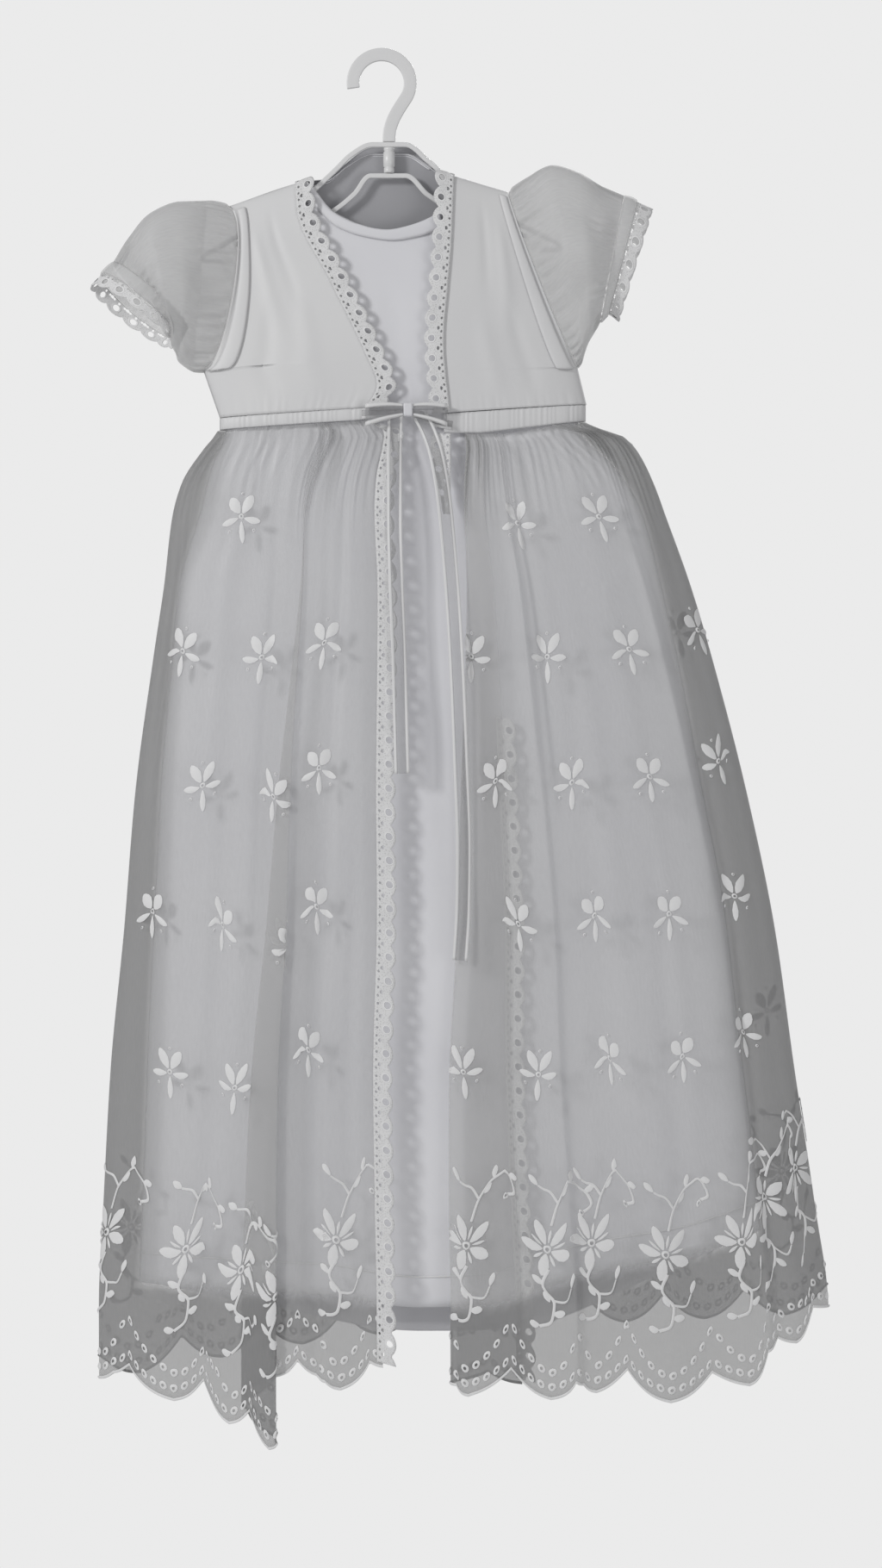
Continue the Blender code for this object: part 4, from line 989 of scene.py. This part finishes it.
# %% [markdown]
# ## The embroidered skirt
# Three panels of organza are gathered into the waistband. The two fronts are left open, and
# each follows its own lines: the left one has a deep pleat, and the right one turns back at
# its edge. The pleats under the waistband fade out before the first row of sprigs.


# %% Over-gown skirt
def backed_by_satin(places, front):
    """1 where the satin skirt lies behind the organza, 0 beyond its sides and hem."""
    x, z = places[:, 0], places[:, 2]
    heights = column(UNDER_SECTIONS, 0)
    left = smooth(z, heights, column(UNDER_SECTIONS, 1))
    right = smooth(z, heights, column(UNDER_SECTIONS, 2))
    share = np.clip((x - left) / (right - left), 0.0, 1.0)
    hems = UNDER_FRONT_HEM if front else UNDER_BACK_HEM
    low = smooth(share, column(hems, 0), column(hems, 1))
    return (ramp(x, left - 0.002, left + 0.005) * (1.0 - ramp(x, right - 0.005, right + 0.002))
            * ramp(z, low - 0.003, low + 0.003))


def store_backed(mesh, front):
    places = np.array([vertex.co for vertex in mesh.vertices])
    layer = mesh.attributes.new("backed", "FLOAT", "POINT")
    layer.data.foreach_set("value", backed_by_satin(places, front).astype(np.float32))


def over_skirt(name, node, base, folds, gather, front, across, seed):
    def height(u, v):
        pleats = 0.0018 * gathers(u, gather, seed) * (1.0 - ramp(v, 0.0, 0.13)) * ramp(v, 0, 0.004)
        return (1.5 * creases(folds, u, v) + pleats) * ramp(np.minimum(u, 1.0 - u), 0.0, 0.03)

    surface = raised(base, height, 1.0 if front else -1.0)
    mesh = cloth_mesh(name, surface, across, 120, facing_back=not front)
    # The backed mask also sets the organza's painted light over satin and painted shade elsewhere.
    store_backed(mesh, front)
    piece = piece_of(name, mesh, organza, THIN)
    stand_for(piece, node)
    cut(piece, base, fullness=1.15)
    return surface


left_cloth = over_skirt("over skirt front left", "over_skirt_front_left", left_skirt, (
    (0.07, 0.06, 0.02, 0.45, -0.0014, 0.020), (0.20, 0.19, 0.30, 0.98, 0.0012, 0.022),
    (0.31, 0.29, 0.00, 0.70, -0.0016, 0.016), (0.80, 0.80, 0.05, 0.60, 0.0012, 0.020),
    (0.90, 0.92, 0.35, 1.00, -0.0014, 0.018)), 26, True, 204, 31)
right_cloth = over_skirt("over skirt front right", "over_skirt_front_right", right_skirt, (
    (0.42, 0.40, 0.02, 0.40, 0.0014, 0.016), (0.52, 0.55, 0.00, 0.45, -0.0016, 0.016),
    (0.60, 0.62, 0.10, 0.85, 0.0014, 0.018), (0.68, 0.66, 0.35, 1.00, -0.0014, 0.018),
    (0.76, 0.80, 0.00, 0.60, 0.0018, 0.016), (0.86, 0.85, 0.25, 0.95, -0.0014, 0.018)),
    34, True, 228, 32)
back_cloth = over_skirt("over skirt back", "over_skirt_back", back_skirt, (
    (0.12, 0.10, 0.00, 0.55, -0.0018, 0.020), (0.27, 0.25, 0.05, 0.90, 0.0020, 0.022),
    (0.41, 0.43, 0.00, 0.65, -0.0020, 0.024), (0.55, 0.53, 0.10, 1.00, 0.0018, 0.020),
    (0.69, 0.73, 0.00, 0.75, -0.0018, 0.024), (0.85, 0.87, 0.04, 0.90, 0.0018, 0.020)),
    60, False, 260, 33)


# %% Waistband
def waistband(word, start, end, front):
    waist = OVER_SECTIONS[0]
    table = WAISTBAND if front else WAISTBAND_BACK

    def surface(u, v):
        share = lerp((start - waist[1]) / (waist[2] - waist[1]),
                     (end - waist[1]) / (waist[2] - waist[1]), u)
        x = lerp(waist[1], waist[2], share)
        low = np.interp(x, column(table, 0), column(table, 1))
        tall = np.interp(x, column(table, 0), [row[2] if len(row) > 2 else 0 for row in table])
        place = on_section(OVER_SECTIONS, np.full_like(u, waist[0]), share, 0.0, front)
        puckers = 0.0004 * gathers(u, 24, 41) * ramp(np.minimum(u, 1.0 - u), 0.0, 0.05)
        bulge = 0.0008 * np.sin(math.pi * v) ** 0.6 + puckers
        place[:, 1] += -bulge if front else bulge
        place[:, 2] = lerp(low + tall, low, v)
        return place

    mesh = cloth_mesh(f"over waistband {word}", surface, 110, 10, facing_back=not front)
    piece = piece_of(mesh.name, mesh, bodice_cloth, THIN)
    stand_for(piece, f"over_waistband_{word}")
    cut(piece, surface)


waistband("left", -0.109, -0.008, True)
waistband("right", 0.042, 0.1375, True)
waistband("back", -0.109, 0.1375, False)

# %% [markdown]
# ## Lace on the edges
# The lace is bought by the metre and sewn on, so its eyelets and scallops keep one spacing
# however the edge runs. Each strip follows a panel's edge, laps over it by a seam's width and
# ripples a little where it stands free.


# %% Edge lace
LACE_WIDTH = 0.0135
LACE_OVERLAP = 0.004


def lace_edge(name, base, edge, start, end, pitch, finish):
    """Lace along a panel's edge, 0 left or 1 right, between two shares down it."""
    inner = edge + (0.04 if edge == 0 else -0.04)
    down = np.linspace(start, end, 240)
    steps = np.linalg.norm(np.diff(base(np.full(240, float(edge)), down), axis=0), axis=1)
    run = np.concatenate([[0.0], np.cumsum(steps)])

    def surface(u, v):
        far = v * run[-1]
        v = np.interp(far, run, down)
        at = np.full_like(v, float(edge))
        place = base(at, v)
        away = place - base(np.full_like(v, inner), v)
        away /= np.linalg.norm(away, axis=1)[:, None]
        out = normals(base, at, v)
        scallop = 0.0040 * (1.0 - np.abs(np.sin(math.pi * far / pitch)) ** 0.7)
        reach = lerp(-LACE_OVERLAP, LACE_WIDTH - LACE_OVERLAP - scallop, u)
        ripple = 0.0007 * ramp(u, 0.4, 1.0) * np.sin(math.tau * far / 0.043)
        return place + away * reach[:, None] + out * (0.0014 + ripple)[:, None]

    mesh = cloth_mesh(name, surface, 8, int(run[-1] / pitch * 12), facing_back=edge == 0,
                      size=(LACE_WIDTH, run[-1]))
    piece = piece_of(name, mesh, finish, THIN)
    stand_for(piece, name.replace(" ", "_"))
    cut(piece, surface)


lace_edge("over neck lace left", left_front, 1, 0.02, 1.0, 0.0135, neck_lace)
lace_edge("over neck lace right", right_front, 0, 0.02, 1.0, 0.0135, neck_lace)
lace_edge("over front lace left", left_cloth, 1, 0.004, 0.995, 0.0160, front_lace)
lace_edge("over front lace right lower", right_cloth, 0, 0.30, 0.995, 0.0160, front_lace)


def upper_lace(u, v):
    """The right front's lace beside its fold: it stands out less and less, then goes behind."""
    z = lerp(-0.2525, -0.307, v)
    stands = smooth(z, (-0.2525, -0.266, -0.280, -0.294, -0.307), (1.0, 1.0, 0.85, 0.5, 0.1))
    heights = column(OVER_SECTIONS, 0)
    scallop = 0.0028 * (1.0 - np.abs(np.sin(math.pi * (0.2525 + z) / 0.016)) ** 0.6)
    reach = lerp(-LACE_OVERLAP, (LACE_WIDTH - LACE_OVERLAP) * stands - scallop * stands, u)
    y = -smooth(z, heights, column(OVER_SECTIONS, 3)) - 0.0024
    return np.stack([0.0425 - reach, y, z], axis=1)


mesh = cloth_mesh("over front lace right upper", upper_lace, 8, 48, facing_back=True,
                  size=(LACE_WIDTH, 0.0545))
piece = piece_of(mesh.name, mesh, front_lace, THIN)
stand_for(piece, "over_front_lace_right_upper")
cut(piece, upper_lace)

# %% [markdown]
# ## Ribbon tie
# One sheer ribbon with satin edges closes the over-gown at the waist. It is tied in a small
# flat bow, and its tails hang down the front of the skirt, each with a slow twist of its own.


# %% Ribbons
def ribbon_band(path, width, wave=0.0, seed=0):
    """A band along rows of x, y, z: `u` across its width and `v` along it."""
    rows = np.arange(len(path))
    table = [column(path, index) for index in range(3)]

    def line(v):
        at = np.clip(v, 0.0, 1.0) * rows[-1]
        return np.stack([smooth(at, rows, values) for values in table], axis=1)

    def surface(u, v):
        along = line(v + 0.01) - line(v - 0.01)
        across = np.cross(along, (0.0, 1.0, 0.0))
        across /= np.maximum(np.linalg.norm(across, axis=1), 1e-9)[:, None]
        place = line(v) + across * ((u - 0.5) * width)[:, None]
        place[:, 1] -= wave * np.sin(math.tau * 2.2 * v + seed) * (u - 0.5) * 2.0
        return place

    return surface


def ribbon_piece(name, node, surface, steps, width):
    across, long = extent(surface)
    mesh = cloth_mesh(name, surface, 10, steps, size=(width, long))
    piece = piece_of(name, mesh, ribbon, THIN, centred=True)
    stand_for(piece, node)
    cut(piece, surface)


TIES = {
    "left": ((-0.0130, 0.0182, -0.2396), (0.0000, 0.0185, -0.2390), (0.0100, 0.0190, -0.2385),
             (0.0160, 0.0196, -0.2384)),
    "right": ((0.0200, 0.0196, -0.2384), (0.0260, 0.0187, -0.2400), (0.0370, 0.0185, -0.2450),
              (0.0475, 0.0185, -0.2470))}
TAILS = {
    "right": ((0.0258, -0.2400), (0.0310, -0.2500), (0.036, -0.264), (0.041, -0.290),
              (0.046, -0.340), (0.050, -0.400), (0.053, -0.470), (0.055, -0.528),
              (0.0545, -0.570), (0.0525, -0.604)),
    "left": ((0.0094, -0.2400), (0.0092, -0.2500), (0.009, -0.270), (0.009, -0.310),
             (0.010, -0.350), (0.012, -0.400), (0.013, -0.440), (0.014, -0.480))}


def hanging_tail(path):
    heights = column(OVER_SECTIONS, 0)
    lying = smooth(column(path, 1), heights, column(OVER_SECTIONS, 3)) + 0.0045
    down = np.clip((path[0][1] - column(path, 1)) / 0.03, 0.0, 1.0)
    return [(x, -lerp(0.0206, reach, share), z)
            for (x, z), reach, share in zip(path, lying, down)]


for word, route in TIES.items():
    band = ribbon_band([(x, -reach, z) for x, reach, z in route], 0.0058)
    ribbon_piece(f"over tie {word}", f"over_tie_{word}", band, 20, 0.0058)
for word, path in TAILS.items():
    band = ribbon_band(hanging_tail(path), TIE_WIDTH, 0.0014, 1.5 if word == "left" else 0.0)
    ribbon_piece(f"over tie tail {word}", f"over_tie_tail_{word}", band, 120, TIE_WIDTH)


# %% Bow
KNOT_X, KNOT_Z = 0.018, -0.2370


def bow_loop(word, end):
    """A loop that is pinched at the knot, opens out to its far end and comes back."""
    toward = 1.0 if end > KNOT_X else -1.0
    near = KNOT_X + toward * 0.0033
    far = end - toward * 0.002
    middle = lerp(near, far, 0.5)
    rows = ((near, 0.0264), (middle, 0.0276), (far, 0.0268), (end, 0.0244), (far, 0.0222),
            (middle, 0.0216), (near, 0.0224))
    places = np.arange(len(rows))

    def surface(u, v):
        at = v * places[-1]
        x = smooth(at, places, column(rows, 0))
        reach = smooth(at, places, column(rows, 1))
        open_share = np.clip(np.abs(x - KNOT_X) / abs(end - KNOT_X), 0.0, 1.0)
        tall = lerp(0.0060, 0.0150, open_share ** 0.8)
        droop = -0.0035 * open_share ** 2
        pleat = 0.0005 * np.sin(math.tau * 2.5 * u) * (1.0 - open_share)
        return np.stack([x, -reach - pleat, KNOT_Z + droop + (0.5 - u) * tall], axis=1)

    ribbon_piece(f"over tie loop {word}", f"over_tie_loop_{word}", surface, 60, TIE_WIDTH)


bow_loop("left", -0.0105)
bow_loop("right", 0.0440)


def make_knot():
    shape = bmesh.new()
    bmesh.ops.create_cube(shape, size=1.0)
    bmesh.ops.subdivide_edges(shape, edges=shape.edges, cuts=5, use_grid_fill=True)
    bmesh.ops.scale(shape, verts=shape.verts, vec=(0.0060, 0.0078, 0.0088))
    bmesh.ops.smooth_vert(shape, verts=shape.verts, factor=0.5, use_axis_x=True,
                          use_axis_y=True, use_axis_z=True)
    for vertex in shape.verts:
        vertex.co.y += 0.0004 * math.sin(2200.0 * vertex.co.z + 900.0 * vertex.co.x)
    bmesh.ops.translate(shape, verts=shape.verts, vec=(KNOT_X, -0.0243, KNOT_Z))
    mesh = bpy.data.meshes.new("over tie knot")
    shape.to_mesh(mesh)
    shape.free()
    mesh.shade_smooth()
    stand_for(piece_of(mesh.name, mesh, satin), "over_tie_knot")


make_knot()

# %% [markdown]
# ## The hanger
# A child's hanger is moulded in one piece of white plastic: a flat hook, a short grooved post,
# a thin upper arm, a lower bar and a small turned-up tip at each end. Each strip runs along its
# own line and gets rounded edges from a bevel.


# %% Hanger
def strip(name, path, width, depth, steps):
    surface = ribbon_band([(x, 0.0, z) for x, z in path], width)
    mesh = cloth_mesh(name, surface, 3, steps)
    piece = piece_of(name, mesh, plastic, depth, centred=True)
    bevel = piece.modifiers.new("rounded edges", "BEVEL")
    bevel.width = 0.0007
    bevel.segments = 3
    bevel.angle_limit = math.radians(50)
    stand_for(piece, name.replace(" ", "_"))


def hook_path():
    radius = 0.015 + 0.0085 / 2
    path = []
    for step in range(37):
        turn = math.radians(190.0 - 225.0 * step / 36)
        path.append((radius * math.cos(turn), -0.015 + radius * math.sin(turn)))
    x, z = path[-1]
    for share in (0.25, 0.5, 0.75, 0.9):
        path.append((lerp(x, 0.005, math.sin(share * math.pi / 1.8)), lerp(z, -0.0545, share)))
    path[-1] = (0.005, path[-1][1])
    return path + [(0.005, -0.0545)]


LEVEL = -0.0545 - 0.0003 - 0.0033 / 2
MIDDLE = -0.0755 - 0.0003 - 0.0033 / 2
strip("hanger hook", hook_path(), 0.0085, 0.004, 160)
strip("hanger arms", ((-0.1105, -0.1262), (-0.080, -0.1075), (-0.0475, -0.0886),
                      (-0.0365, -0.0787), (-0.030, -0.0725), (-0.020, -0.0630),
                      (-0.0058, LEVEL), (0.0157, LEVEL), (0.030, -0.0665), (0.037, -0.0725),
                      (0.0475, -0.0856), (0.080, -0.1035), (0.1105, -0.1188)),
      0.0033, 0.0028, 150)
strip("hanger bar", ((-0.100, -0.1240), (-0.060, -0.1130), (-0.034, -0.1020),
                     (-0.0186, -0.0900), (-0.007, MIDDLE), (0.016, MIDDLE), (0.0307, -0.0900),
                     (0.045, -0.0990), (0.075, -0.1110), (0.098, -0.1180)), 0.0033, 0.0028, 120)
TIP_RING = ((0.0006, -0.0003), (0.0085, -0.0046), (0.0099, -0.0060), (0.0098, -0.0078),
            (0.0080, -0.0086), (-0.0030, -0.0086))
for word, side, end_z in (("left", -1.0, -0.1262), ("right", 1.0, -0.1188)):
    strip(f"hanger tip {word}", [(side * (0.1105 + x), end_z + z) for x, z in TIP_RING],
          0.0026, 0.0028, 60)


def make_post():
    """The post is turned: a few rings of the profile, spun round."""
    top, low = -0.0545 - 0.0006 - 0.0033, -0.0755
    profile = ((0.0, low), (0.0032, low), (0.0035, low + 0.0006), (0.0035, low + 0.0030),
               (0.0030, low + 0.0036), (0.0038, low + 0.0044), (0.0039, (low + top) / 2),
               (0.0038, top - 0.0032), (0.0030, top - 0.0026), (0.0036, top - 0.0020),
               (0.0036, top - 0.0004), (0.0032, top), (0.0, top))
    shape = bmesh.new()
    outline = [shape.verts.new((radius, 0.0, height)) for radius, height in profile]
    edges = [shape.edges.new(pair) for pair in zip(outline, outline[1:])]
    bmesh.ops.spin(shape, geom=outline + edges, cent=(0, 0, 0), axis=(0, 0, 1), angle=math.tau,
                   steps=40, use_merge=True)
    bmesh.ops.remove_doubles(shape, verts=shape.verts, dist=1e-6)
    bmesh.ops.recalc_face_normals(shape, faces=shape.faces)
    bmesh.ops.translate(shape, verts=shape.verts, vec=(0.005, 0.0, 0.0))
    mesh = bpy.data.meshes.new("hanger post")
    shape.to_mesh(mesh)
    shape.free()
    mesh.shade_smooth()
    stand_for(piece_of(mesh.name, mesh, plastic), "hanger_post")


make_post()

# %% [markdown]
# ## Embroidery
# The skirt carries machine embroidery: sprigs scattered over the field, and at the hem a
# scalloped border of flowers, stems and eyelets under a satin-stitched edge. Each motif is
# modelled once, flat, and then laid on the cloth. `Chart` measures the cloth as a tailor
# would, in metres across from a line and metres up from a point, so that motifs keep their
# size in the folds.


# %% Motifs
def petal(shape, length, width, turn, place, height=0.0007):
    """A raised petal that points away from `place`."""
    made = bmesh.ops.create_circle(shape, cap_ends=True, radius=0.5, segments=12)["verts"]
    faces = list({face for vertex in made for face in vertex.link_faces})
    centre = bmesh.ops.poke(shape, faces=faces)["verts"]
    for vertex in made:
        along = vertex.co.y + 0.5
        vertex.co.x *= width * (0.55 + 0.6 * math.sin(math.pi * along * 0.8))
        vertex.co.y = along * length
    for vertex in centre:
        vertex.co = (0.0, 0.55 * length, height)
    move = Matrix.Translation((*place, 0.0)) @ Matrix.Rotation(turn, 4, "Z")
    bmesh.ops.transform(shape, matrix=move, verts=made + centre)


def ring(shape, radius, hole, place, height=0.0006):
    """A worked eyelet: a flat ring of thread round a hole."""
    rims = []
    for size, level in ((radius, 0.0), (hole, height)):
        made = bmesh.ops.create_circle(shape, cap_ends=False, radius=size, segments=10)["verts"]
        bmesh.ops.translate(shape, verts=made, vec=(*place, level))
        rims += list({edge for vertex in made for edge in vertex.link_edges})
    bmesh.ops.bridge_loops(shape, edges=rims)


def stem(shape, path, width, height=0.0006):
    """A stem in satin stitch: a narrow ridge along a flat path."""
    steps = 5 * len(path)
    made = bmesh.ops.create_grid(shape, x_segments=2, y_segments=steps, size=0.5)["verts"]
    places = np.arange(len(path))
    across, up = column(path, 0), column(path, 1)
    for vertex in made:
        at = (vertex.co.y + 0.5) * places[-1]
        near = np.array([max(at - 0.05, 0.0), min(at + 0.05, places[-1]), at])
        x, y = smooth(near, places, across), smooth(near, places, up)
        slope = Vector((x[1] - x[0], y[1] - y[0])).normalized()
        off = vertex.co.x * width
        level = height if abs(vertex.co.x) < 0.1 else 0.0
        vertex.co = (x[2] + slope.y * off, y[2] - slope.x * off, level)


def motif(*parts):
    """A flat motif as one mesh, from (function, settings) pairs."""
    shape = bmesh.new()
    for make, *settings in parts:
        make(shape, *settings)
    bmesh.ops.recalc_face_normals(shape, faces=shape.faces)
    mesh = bpy.data.meshes.new("motif")
    shape.to_mesh(mesh)
    shape.free()
    return mesh


def rays(count, length, width, start, place=(0.0, 0.0), out=0.0):
    parts = []
    for number in range(count):
        turn = start + math.tau * number / count
        root = (place[0] - out * math.sin(turn), place[1] + out * math.cos(turn))
        parts.append((petal, length, width, turn, root))
    return parts


sprig = motif(
    (petal, 0.0140, 0.0062, 0.50, (-0.001, 0.002)), (petal, 0.0140, 0.0062, -0.50, (0.001, 0.002)),
    (petal, 0.0115, 0.0042, 1.75, (-0.002, -0.001)), (petal, 0.0115, 0.0042, -1.75, (0.002, -0.001)),
    (petal, 0.0150, 0.0036, math.pi, (0.0, -0.003)), (ring, 0.0019, 0.0008, (0.0, 0.0)),
    (ring, 0.0011, 0.0004, (-0.0085, -0.0085)), (ring, 0.0011, 0.0004, (0.0085, -0.0085)),
    (ring, 0.0011, 0.0004, (0.0, 0.0155)))
flower = motif(*rays(5, 0.0165, 0.0066, 0.35, out=0.0030), *rays(5, 0.0090, 0.0018, 0.98, out=0.004),
               (ring, 0.0028, 0.0013, (0.0, 0.0)))
upper_stem = motif(
    (stem, ((0.004, 0.016), (0.010, 0.030), (0.022, 0.039), (0.035, 0.037), (0.040, 0.028),
            (0.034, 0.022)), 0.0019),
    (stem, ((0.010, 0.030), (0.004, 0.040), (-0.004, 0.044)), 0.0016),
    (petal, 0.0085, 0.0046, 0.9, (-0.004, 0.044)), (petal, 0.0085, 0.0046, -0.2, (0.022, 0.039)),
    (petal, 0.0080, 0.0044, -1.2, (0.035, 0.037)), (petal, 0.0075, 0.0042, 2.2, (0.020, 0.037)),
    (ring, 0.0022, 0.0010, (0.032, 0.0205)))
lower_stem = motif(
    (stem, ((0.000, -0.014), (-0.005, -0.026), (0.003, -0.038), (0.001, -0.050),
            (-0.008, -0.056)), 0.0021),
    (stem, ((0.002, -0.036), (0.012, -0.040), (0.017, -0.034)), 0.0016),
    (petal, 0.0095, 0.0048, 1.3, (-0.004, -0.025)), (petal, 0.0095, 0.0048, -1.9, (0.002, -0.045)),
    (petal, 0.0085, 0.0046, -0.4, (0.017, -0.034)), (petal, 0.0085, 0.0046, 1.9, (-0.008, -0.055)),
    (petal, 0.0080, 0.0042, 0.6, (0.000, -0.037)))
eyelet = motif((ring, 0.0028, 0.0011, (0.0, 0.0)))
print("motifs", {name: len(mesh.polygons) for name, mesh in (
    ("sprig", sprig), ("flower", flower), ("upper stem", upper_stem), ("eyelet", eyelet))})


# %% Chart
class Chart:
    """Measures a cloth surface, so that flat motifs can be laid on it at their true size."""

    def __init__(self, surface, columns=420, rows=70):
        self.surface = surface
        self.u = np.linspace(0.0, 1.0, columns + 1)
        self.v = np.linspace(0.0, 1.0, rows + 1)
        u, v = (grid.ravel() for grid in np.meshgrid(self.u, self.v, indexing="ij"))
        places = surface(u, v).reshape(columns + 1, rows + 1, 3)
        steps = np.linalg.norm(np.diff(places, axis=0), axis=2)
        self.across = np.vstack([np.zeros(rows + 1), np.cumsum(steps, axis=0)])
        down = np.linalg.norm(np.diff(places, axis=1), axis=2).sum(axis=1)
        self.length = down

    def share_at(self, u, v, offset):
        """The share across that lies an offset in metres from u, on the row at v."""
        row = min(max(v, 0.0), 1.0) * (len(self.v) - 1)
        low = min(int(row), len(self.v) - 2)
        found = []
        for number in (low, low + 1):
            run = self.across[:, number]
            found.append(np.interp(np.interp(u, self.u, run) + offset, run, self.u))
        return lerp(found[0], found[1], row - low)

    def down_at(self, u, v, offset):
        """The share down that lies an offset in metres above v."""
        return v - offset / np.interp(u, self.u, self.length)

    def along_row(self, v, spacing, start=0.5):
        """Shares across of marks at one spacing along a row."""
        run = self.across[:, int(round(v * (len(self.v) - 1)))]
        marks = np.arange(start * spacing, run[-1], spacing)
        return np.interp(marks, run, self.u)


def lay(name, chart, marks, front):
    """Lays motifs on a chart: each mark is a motif, its shares, its turn and its size."""
    shape = bmesh.new()
    u, v, level = [], [], []
    for mesh, u0, v0, turn, size in marks:
        shape.from_mesh(mesh)
        cosine, sine = size * math.cos(turn), size * math.sin(turn)
        for vertex in mesh.vertices:
            x, y, z = vertex.co
            at_v = chart.down_at(u0, v0, sine * x + cosine * y)
            u.append(chart.share_at(u0, at_v, cosine * x - sine * y))
            v.append(at_v)
            level.append(z)
    u, v = np.clip(u, 0.0, 1.0), np.clip(v, 0.0, 1.0)
    side = 1.0 if front else -1.0
    lift = side * (0.0004 + np.array(level))
    places = chart.surface(u, v) + normals(chart.surface, u, v) * lift[:, None]
    for vertex, place in zip(shape.verts, places):
        vertex.co = place
    if not front:
        bmesh.ops.reverse_faces(shape, faces=shape.faces)
    mesh = bpy.data.meshes.new(name)
    shape.to_mesh(mesh)
    shape.free()
    mesh.shade_smooth()
    piece = piece_of(name, mesh, thread)
    print(f"{name}: {len(marks)} motifs, {len(mesh.polygons)} faces")
    return piece


# %% Embroidery on the three panels
def embroider(name, surface, tips, front, seed, covered=()):
    chart = Chart(surface)
    chance = np.random.default_rng(seed)
    marks = []
    for number, row_v in enumerate((0.095, 0.235, 0.370, 0.515, 0.665)):
        start = 0.5 if number % 2 else 1.0
        for u in chart.along_row(row_v, 0.057, start):
            if 0.012 < u < 0.985 and not any(low < u < high for low, high in covered):
                marks.append((sprig, u, row_v, chance.uniform(-0.12, 0.12), 1.0))
    for u in tips:
        base = 1.0 - 0.100 / np.interp(u, chart.u, chart.length)
        marks.append((flower, u, base, chance.uniform(-0.1, 0.1), 1.0))
        marks.append((upper_stem, u, base, 0.0, 0.95))
        marks.append((lower_stem, u, base, 0.0, 0.95))
    for height, spacing, peak in ((0.0085, 0.0078, 0.0), (0.0180, 0.0078, 0.014)):
        for u in chart.along_row(1.0 - height / 0.62, spacing):
            near = min(abs(u - tip) for tip in tips)
            half = 0.5 * np.median(np.diff(sorted(tips)))
            rise = peak * min(near / half, 1.0) ** 2
            marks.append((eyelet, u, 1.0 - (height + rise) / np.interp(u, chart.u, chart.length),
                          0.0, 1.0))
    lay(f"embroidery {name}", chart, marks, front)
    hem_edge(name, surface, chart, front)


def hem_edge(name, base, chart, front):
    """The satin-stitched edge that runs along every scallop."""
    side = 1.0 if front else -1.0

    def surface(u, v):
        lift = 0.0004 + 0.0006 * np.sin(math.pi * v)
        wide = 0.0019 / np.interp(u, chart.u, chart.length)
        return base(u, 1.0 - wide * (1.0 - v)) + normals(base, u, np.full_like(v, 0.999)) * (
            side * lift)[:, None]

    mesh = cloth_mesh(f"hem edge {name}", surface, 700, 4, facing_back=not front)
    piece_of(mesh.name, mesh, thread)


embroider("left", left_cloth, (0.02, 3 / 17, 5 / 17, 7 / 17, 15 / 17), True, 51,
          covered=((0.47, 0.70),))
embroider("right", right_cloth, (0.26, 7 / 19, 10 / 19, 12 / 19, 14 / 19, 16 / 19, 18 / 19), True,
          52, covered=((0.0, 0.20),))
embroider("back", back_cloth, [(2 * number + 1) / 18 for number in range(9)], False, 53)

# %% Stitched hems of the satin skirt
def stitched_hem(word, base, above, front):
    """A line of stitching that holds the satin hem up, a little above its edge."""
    chart = Chart(base, 120, 40)
    side = 1.0 if front else -1.0

    def surface(u, v):
        down = 1.0 - (above - 0.0011 * v) / np.interp(u, chart.u, chart.length)
        lift = side * (0.0006 + 0.0005 * np.sin(math.pi * v))
        return base(u, down) + normals(base, u, down) * lift[:, None]

    mesh = cloth_mesh(f"satin hem stitching {word}", surface, 300, 2, facing_back=not front)
    piece_of(mesh.name, mesh, thread)


stitched_hem("front", under_cloth["front"], 0.021, True)
stitched_hem("back", under_cloth["back"], 0.010, False)
print("stitched two satin hems")

# %% [markdown]
# ## Floor
# A pale disc stands for the floor below the gown.

# %% Floor
floor_shape = bmesh.new()
bmesh.ops.create_circle(floor_shape, cap_ends=True, radius=0.9, segments=64)
bmesh.ops.translate(floor_shape, verts=floor_shape.verts, vec=(0.04, 0.0, -1.25))
floor_mesh = bpy.data.meshes.new("floor")
floor_shape.to_mesh(floor_mesh)
floor_shape.free()
floor = bpy.data.objects.new("floor", floor_mesh)
pale = Finish("pale floor", Roughness=0.9)
pale.shader.inputs["Base Color"].default_value = (*PALE, 1.0)
floor_mesh.materials.append(pale.material)
bpy.context.scene.collection.objects.link(floor)
